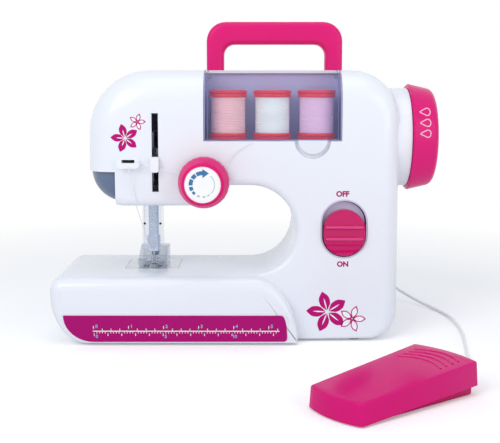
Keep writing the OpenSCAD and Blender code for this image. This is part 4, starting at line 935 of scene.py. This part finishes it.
# middle of the first stroke, lower end, upper end, width, step, count
ticks("ruler_line", -26.8, 10.6, 11.3, 134.6)
ticks("ruler_quarters", INCH_ZERO, 11.2, 12.9, 0.42, 6.33, 22)
ticks("ruler_inches", INCH_ZERO, 11.2, 14.8, 0.5, INCH, 6)
ticks("ruler_halves", CENTIMETRE_ZERO, 9.3, 10.8, 0.4, 1.99, 67)
ticks("ruler_centimetres", CENTIMETRE_ZERO, 7.5, 10.8, 0.48, CENTIMETRE, 14)
FIGURES = (  # name, figures, x of the 0, step, z
    ("inch_%d", range(6), -91.4, INCH, 14.4),
    ("centimetre_%d", (0, 5, 10), -91.2, CENTIMETRE, 7.0),
)
for name, values, x, step, z in FIGURES:
    for k in values:
        figure = lettering(name % k, str(k), 2.3, x + step * k, BEFORE_BED, z, 0.1)
        lay_on(figure, "ruler_strip", INK_LIFT, ink_cyan)
print("ruler ready")

# %% [markdown]
# Three drop-shaped grips stand out on the wheel's rim. Each is a disc pulled to a point, inset and
# emptied to an outline, then pressed on to the round rim and thickened. A bent curve could draw the same
# outline, but it would not follow the rim by itself.

# %% Drops on the wheel
DROP_X, WHEEL_Z, WHEEL_ROUND = 146.6, 148, 39
DROP_LIFT = 0.12


def wheel_drop(name, angle):
    """A drop outline on the rim, at an angle above the wheel's axis."""
    drop = add(bpy.ops.mesh.primitive_circle_add, name, vertices=28, radius=1, fill_type="NGON")
    open_mesh()
    bpy.ops.transform.resize(value=(3.9 * MM, 3.6 * MM, 1))
    for reach in (1.8, 0.8, -0.2, -1.2, -2.2, -3.0):
        choose(lambda co: co.x < reach * MM)
        bpy.ops.transform.resize(value=(1.03, 0.86, 1), center_override=(0, 0, 0))
    bpy.ops.mesh.select_all(action="SELECT")
    bpy.ops.mesh.inset(thickness=0.75 * MM)
    bpy.ops.mesh.delete(type="FACE")
    close_mesh()
    stand_up(drop, DROP_X, BEFORE_BED, WHEEL_Z + WHEEL_ROUND * math.sin(math.radians(angle)))
    lay_on(drop, "handwheel", DROP_LIFT, ink_blush, "drive")


for k, angle in enumerate((30.5, 17.9, 6.3)):
    wheel_drop("wheel_drop_%d" % k, angle)
print("wheel drops: 3")

# %% [markdown]
# Each red spool has a rolled rim beside its thread, so its ends look thicker than the flange alone. A
# torus drawn out along its axis gives that rim. It is modelled once and copied to both ends of the three
# spools, and a lathed profile would give the same shape with more corners to place.

# %% Rims of the spools
rim_blank = add(
    bpy.ops.mesh.primitive_torus_add, "rim_blank",
    major_segments=64, minor_segments=12, major_radius=13.25 * MM, minor_radius=0.55 * MM,
)
open_mesh()
bpy.ops.transform.resize(value=(1, 1, 2.3), center_override=(0, 0, 0))
close_mesh()
bpy.ops.object.shade_smooth()
rim_blank.data.materials.append(spool_red)
for side, x in SPOOL_X.items():
    for end, z in (("low", 151.35), ("high", 179.7)):
        rolled = own_copy(rim_blank, "spool_rim_%s_%s" % (side, end))
        rolled.location = mm(x, SPOOL_Y, z)
        apply_all(rolled)
        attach(rolled, side + "_spool")
print("rim faces:", len(rim_blank.data.polygons))
bpy.data.objects.remove(rim_blank)

# %% [markdown]
# The window has a moulded rib a little inside its edge, and a painted highlight along the edge itself: a pale
# bead that stands for the light the clear edge catches. Both follow the same arc as the lid, so they are thin
# tubes along the lid's own profile. An inset on the lid's faces could raise them too, but tubes leave the
# measured lid as it is.

# %% The window's painted edge highlight and its rib
LID_Y, LID_Z, LID_ROUND = -22, 176, 22  # the middle and the radius of the lid's arc


def lid_line(name, left, right, low, radius, material):
    """A thin bead down one side of the window, along its foot and up the other side."""
    outside = LID_ROUND + 0.05
    profile = [(-16, LID_Z + outside)]
    for k in range(13):
        a = math.radians(90 + 7.5 * k)
        profile.append((LID_Y + outside * math.cos(a), LID_Z + outside * math.sin(a)))
    profile.append((LID_Y - outside, low))
    route = [mm(left, y, z) for y, z in profile] + [mm(right, y, z) for y, z in reversed(profile)]
    bead = tube(name, route, radius * MM, material, sides=2)
    as_mesh(bead)
    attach(bead, "lid")
    print(name, len(bead.data.polygons), "faces")


rib_slate = moulded("rib_slate", (112, 116, 166), 0.25, coat=0.2)
# pale: a painted highlight along the clear window's edge
edge_glint_pale = moulded("edge_glint_pale", (172, 180, 216), 0.2, coat=0.3)
# left, right, lower end, radius
lid_line("window_rib", -11.2, 82.6, 148.4, 0.3, rib_slate)
lid_line("window_edge_glint", -13.35, 84.65, 147.85, 0.28, edge_glint_pale)

# %% [markdown]
# A frosted finger tab sits at the window's foot, and a second half disc lines the finger recess behind
# it. Each is half a disc pressed on like the ink. Frost could also be a mask in the window's finish, but
# then its round edge would be soft.

# %% The finger tab and its recess
TAB_X, BEFORE_TAB = 64.4, -50


def half_disc(name, radius, z):
    """The lower half of a round plate, standing in front of the finger tab."""
    plate = add(bpy.ops.mesh.primitive_circle_add, name, vertices=48, radius=1, fill_type="TRIFAN")
    open_mesh()
    choose(lambda co: co.y > 0.01)
    bpy.ops.mesh.delete(type="VERT")
    close_mesh()
    plate.scale = (radius * MM, radius * MM, 1)
    return stand_up(plate, TAB_X, BEFORE_TAB, z)


frosted = moulded("frosted", (232, 236, 246), 0.5)
lay_on(half_disc("tab_frost", 10.6, 148.5), "thread_lid", INK_LIFT, frosted, "lid")
lay_on(half_disc("tab_recess", 12.9, 147), "thread_tray", INK_LIFT, casing_white)
print("finger tab ready")

# %% [markdown]
# A painted shadow runs round the switch button, in the gap where it slides in its frame: a dark line that
# stands for the shade down there. It is a thin closed cord along the button's outline, two half circles
# joined by straight sides. Left to the lamps' shadow alone, the gap would vanish under soft light.

# %% The painted shadow round the switch
SHADE_LINE_Y, SHADE_LINE_ROUND = -39.86, 15.6
shade_line_route = []
for z, first in ((88, 0), (79, 180)):
    for k in range(25):
        a = math.radians(first + 7.5 * k)
        shade_line_route.append(mm(SWITCH_X + SHADE_LINE_ROUND * math.cos(a), SHADE_LINE_Y, z + SHADE_LINE_ROUND * math.sin(a)))
# near-black plum: a painted shadow for the shaded gap round the button
gap_shade_plum = moulded("gap_shade_plum", (44, 14, 44), 0.6)
switch_gap_shade = tube("switch_gap_shade", shade_line_route, 0.36 * MM, gap_shade_plum, sides=2)
switch_gap_shade.data.splines[0].use_cyclic_u = True
as_mesh(switch_gap_shade)
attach(switch_gap_shade, "machine")
print("seal faces:", len(switch_gap_shade.data.polygons))

# %% [markdown]
# Small screws hold the window and the finger guard. One head is modelled: a disc whose rim is bevelled
# and whose cross is cut by two crossed blades with a Boolean. A printed cross would be lighter, but it
# would lie flat in a close view.

# %% One screw head
screw_blank = add(bpy.ops.mesh.primitive_cylinder_add, "screw_blank", vertices=32, radius=1, depth=0.5)
open_mesh()
choose(lambda co: co.z > 0)
bpy.ops.mesh.bevel(offset=0.22, segments=3)
close_mesh()
for turn in (0, 90):
    blade = add(
        bpy.ops.mesh.primitive_cube_add, "screw_blade",
        size=1, location=(0, 0, 0.25), rotation=(0, 0, math.radians(turn)),
    )
    blade.scale = (1.15, 0.2, 0.3)
    apply_all(blade)
    pick(screw_blank)
    cut = screw_blank.modifiers.new("cut", "BOOLEAN")
    cut.operation = "DIFFERENCE"
    cut.object = blade
    bpy.ops.object.modifier_apply(modifier=cut.name)
    bpy.data.objects.remove(blade)
print("screw faces:", len(screw_blank.data.polygons))

# %% [markdown]
# Each screw is a copy of that head at its own size and with a mesh of its own. The window's two lean back
# along the lid's arc, and the guard's two stand square to the front. Copies that share one mesh would be
# lighter, but each piece has to carry its own place in its mesh.


# %% The screws in their places
def screw_head(name, radius, place, lean, material, body):
    """A copy of the head at its size, leaning back from the front by an angle."""
    head = own_copy(screw_blank, name)
    head.scale = (radius * MM,) * 3
    head.rotation_euler = (math.radians(90 - lean), 0, 0)
    head.location = mm(*place)
    apply_all(head)
    smooth_below(40)
    head.data.materials.append(material)
    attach(head, body)


LEAN = 50  # degrees up the lid's arc
lid_y = LID_Y - (LID_ROUND + 0.2) * math.cos(math.radians(LEAN))
lid_z = LID_Z + (LID_ROUND + 0.2) * math.sin(math.radians(LEAN))
for side, x in (("left", -9.8), ("right", 81.2)):
    screw_head("lid_screw_" + side, 1.5, (x, lid_y, lid_z), LEAN, fitting_grey, "lid")
guard_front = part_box("finger_guard")[0][1] / MM
screw_black = metal("screw_black", (58, 60, 70), 0.3)
for side, x in (("left", -61.0), ("right", -49.0)):
    screw_head("guard_screw_" + side, 0.9, (x, guard_front - 0.1, 82.4), 0, screw_black, "machine")
bpy.data.objects.remove(screw_blank)
print("screws: 4")

# %% [markdown]
# The thread guide is a loop with a narrow slot that the thread passes. The slot shows as a dark line of
# shade, so painted shade is laid there: a disc drawn out to a long round plate, dark, in the loop's pocket. A
# cut through the guide would show the white housing behind it.

# %% The painted shade in the guide's slot
SLOT_ROUND, SLOT_MARGIN, SLOT_RISE = 1.15, 3.7, 1.4
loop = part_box("thread_guide")
middle = [(a + b) / 2 / MM for a, b in zip(*loop)]
stretch = ((loop[1][0] - loop[0][0]) / 2 / MM - SLOT_MARGIN) / SLOT_ROUND - 1
# near-black: painted shade in the guide's slot, not a print
slot_shade_ink = ink("slot_shade_ink", (28, 28, 40))
slot_shade_plate = add(bpy.ops.mesh.primitive_circle_add, "guide_slot_shade", vertices=24, radius=1, fill_type="NGON")
open_mesh()
choose(lambda co: co.x > 0.01)
bpy.ops.transform.translate(value=(stretch, 0, 0))
choose(lambda co: co.x < -0.01)
bpy.ops.transform.translate(value=(-stretch, 0, 0))
close_mesh()
slot_shade_plate.scale = (SLOT_ROUND * MM, SLOT_ROUND * MM, 1)
stand_up(slot_shade_plate, middle[0], BEFORE_BED, middle[2] + SLOT_RISE)
lay_on(slot_shade_plate, "thread_guide", INK_LIFT, slot_shade_ink)
print("guide slot at", [round(v, 1) for v in middle])
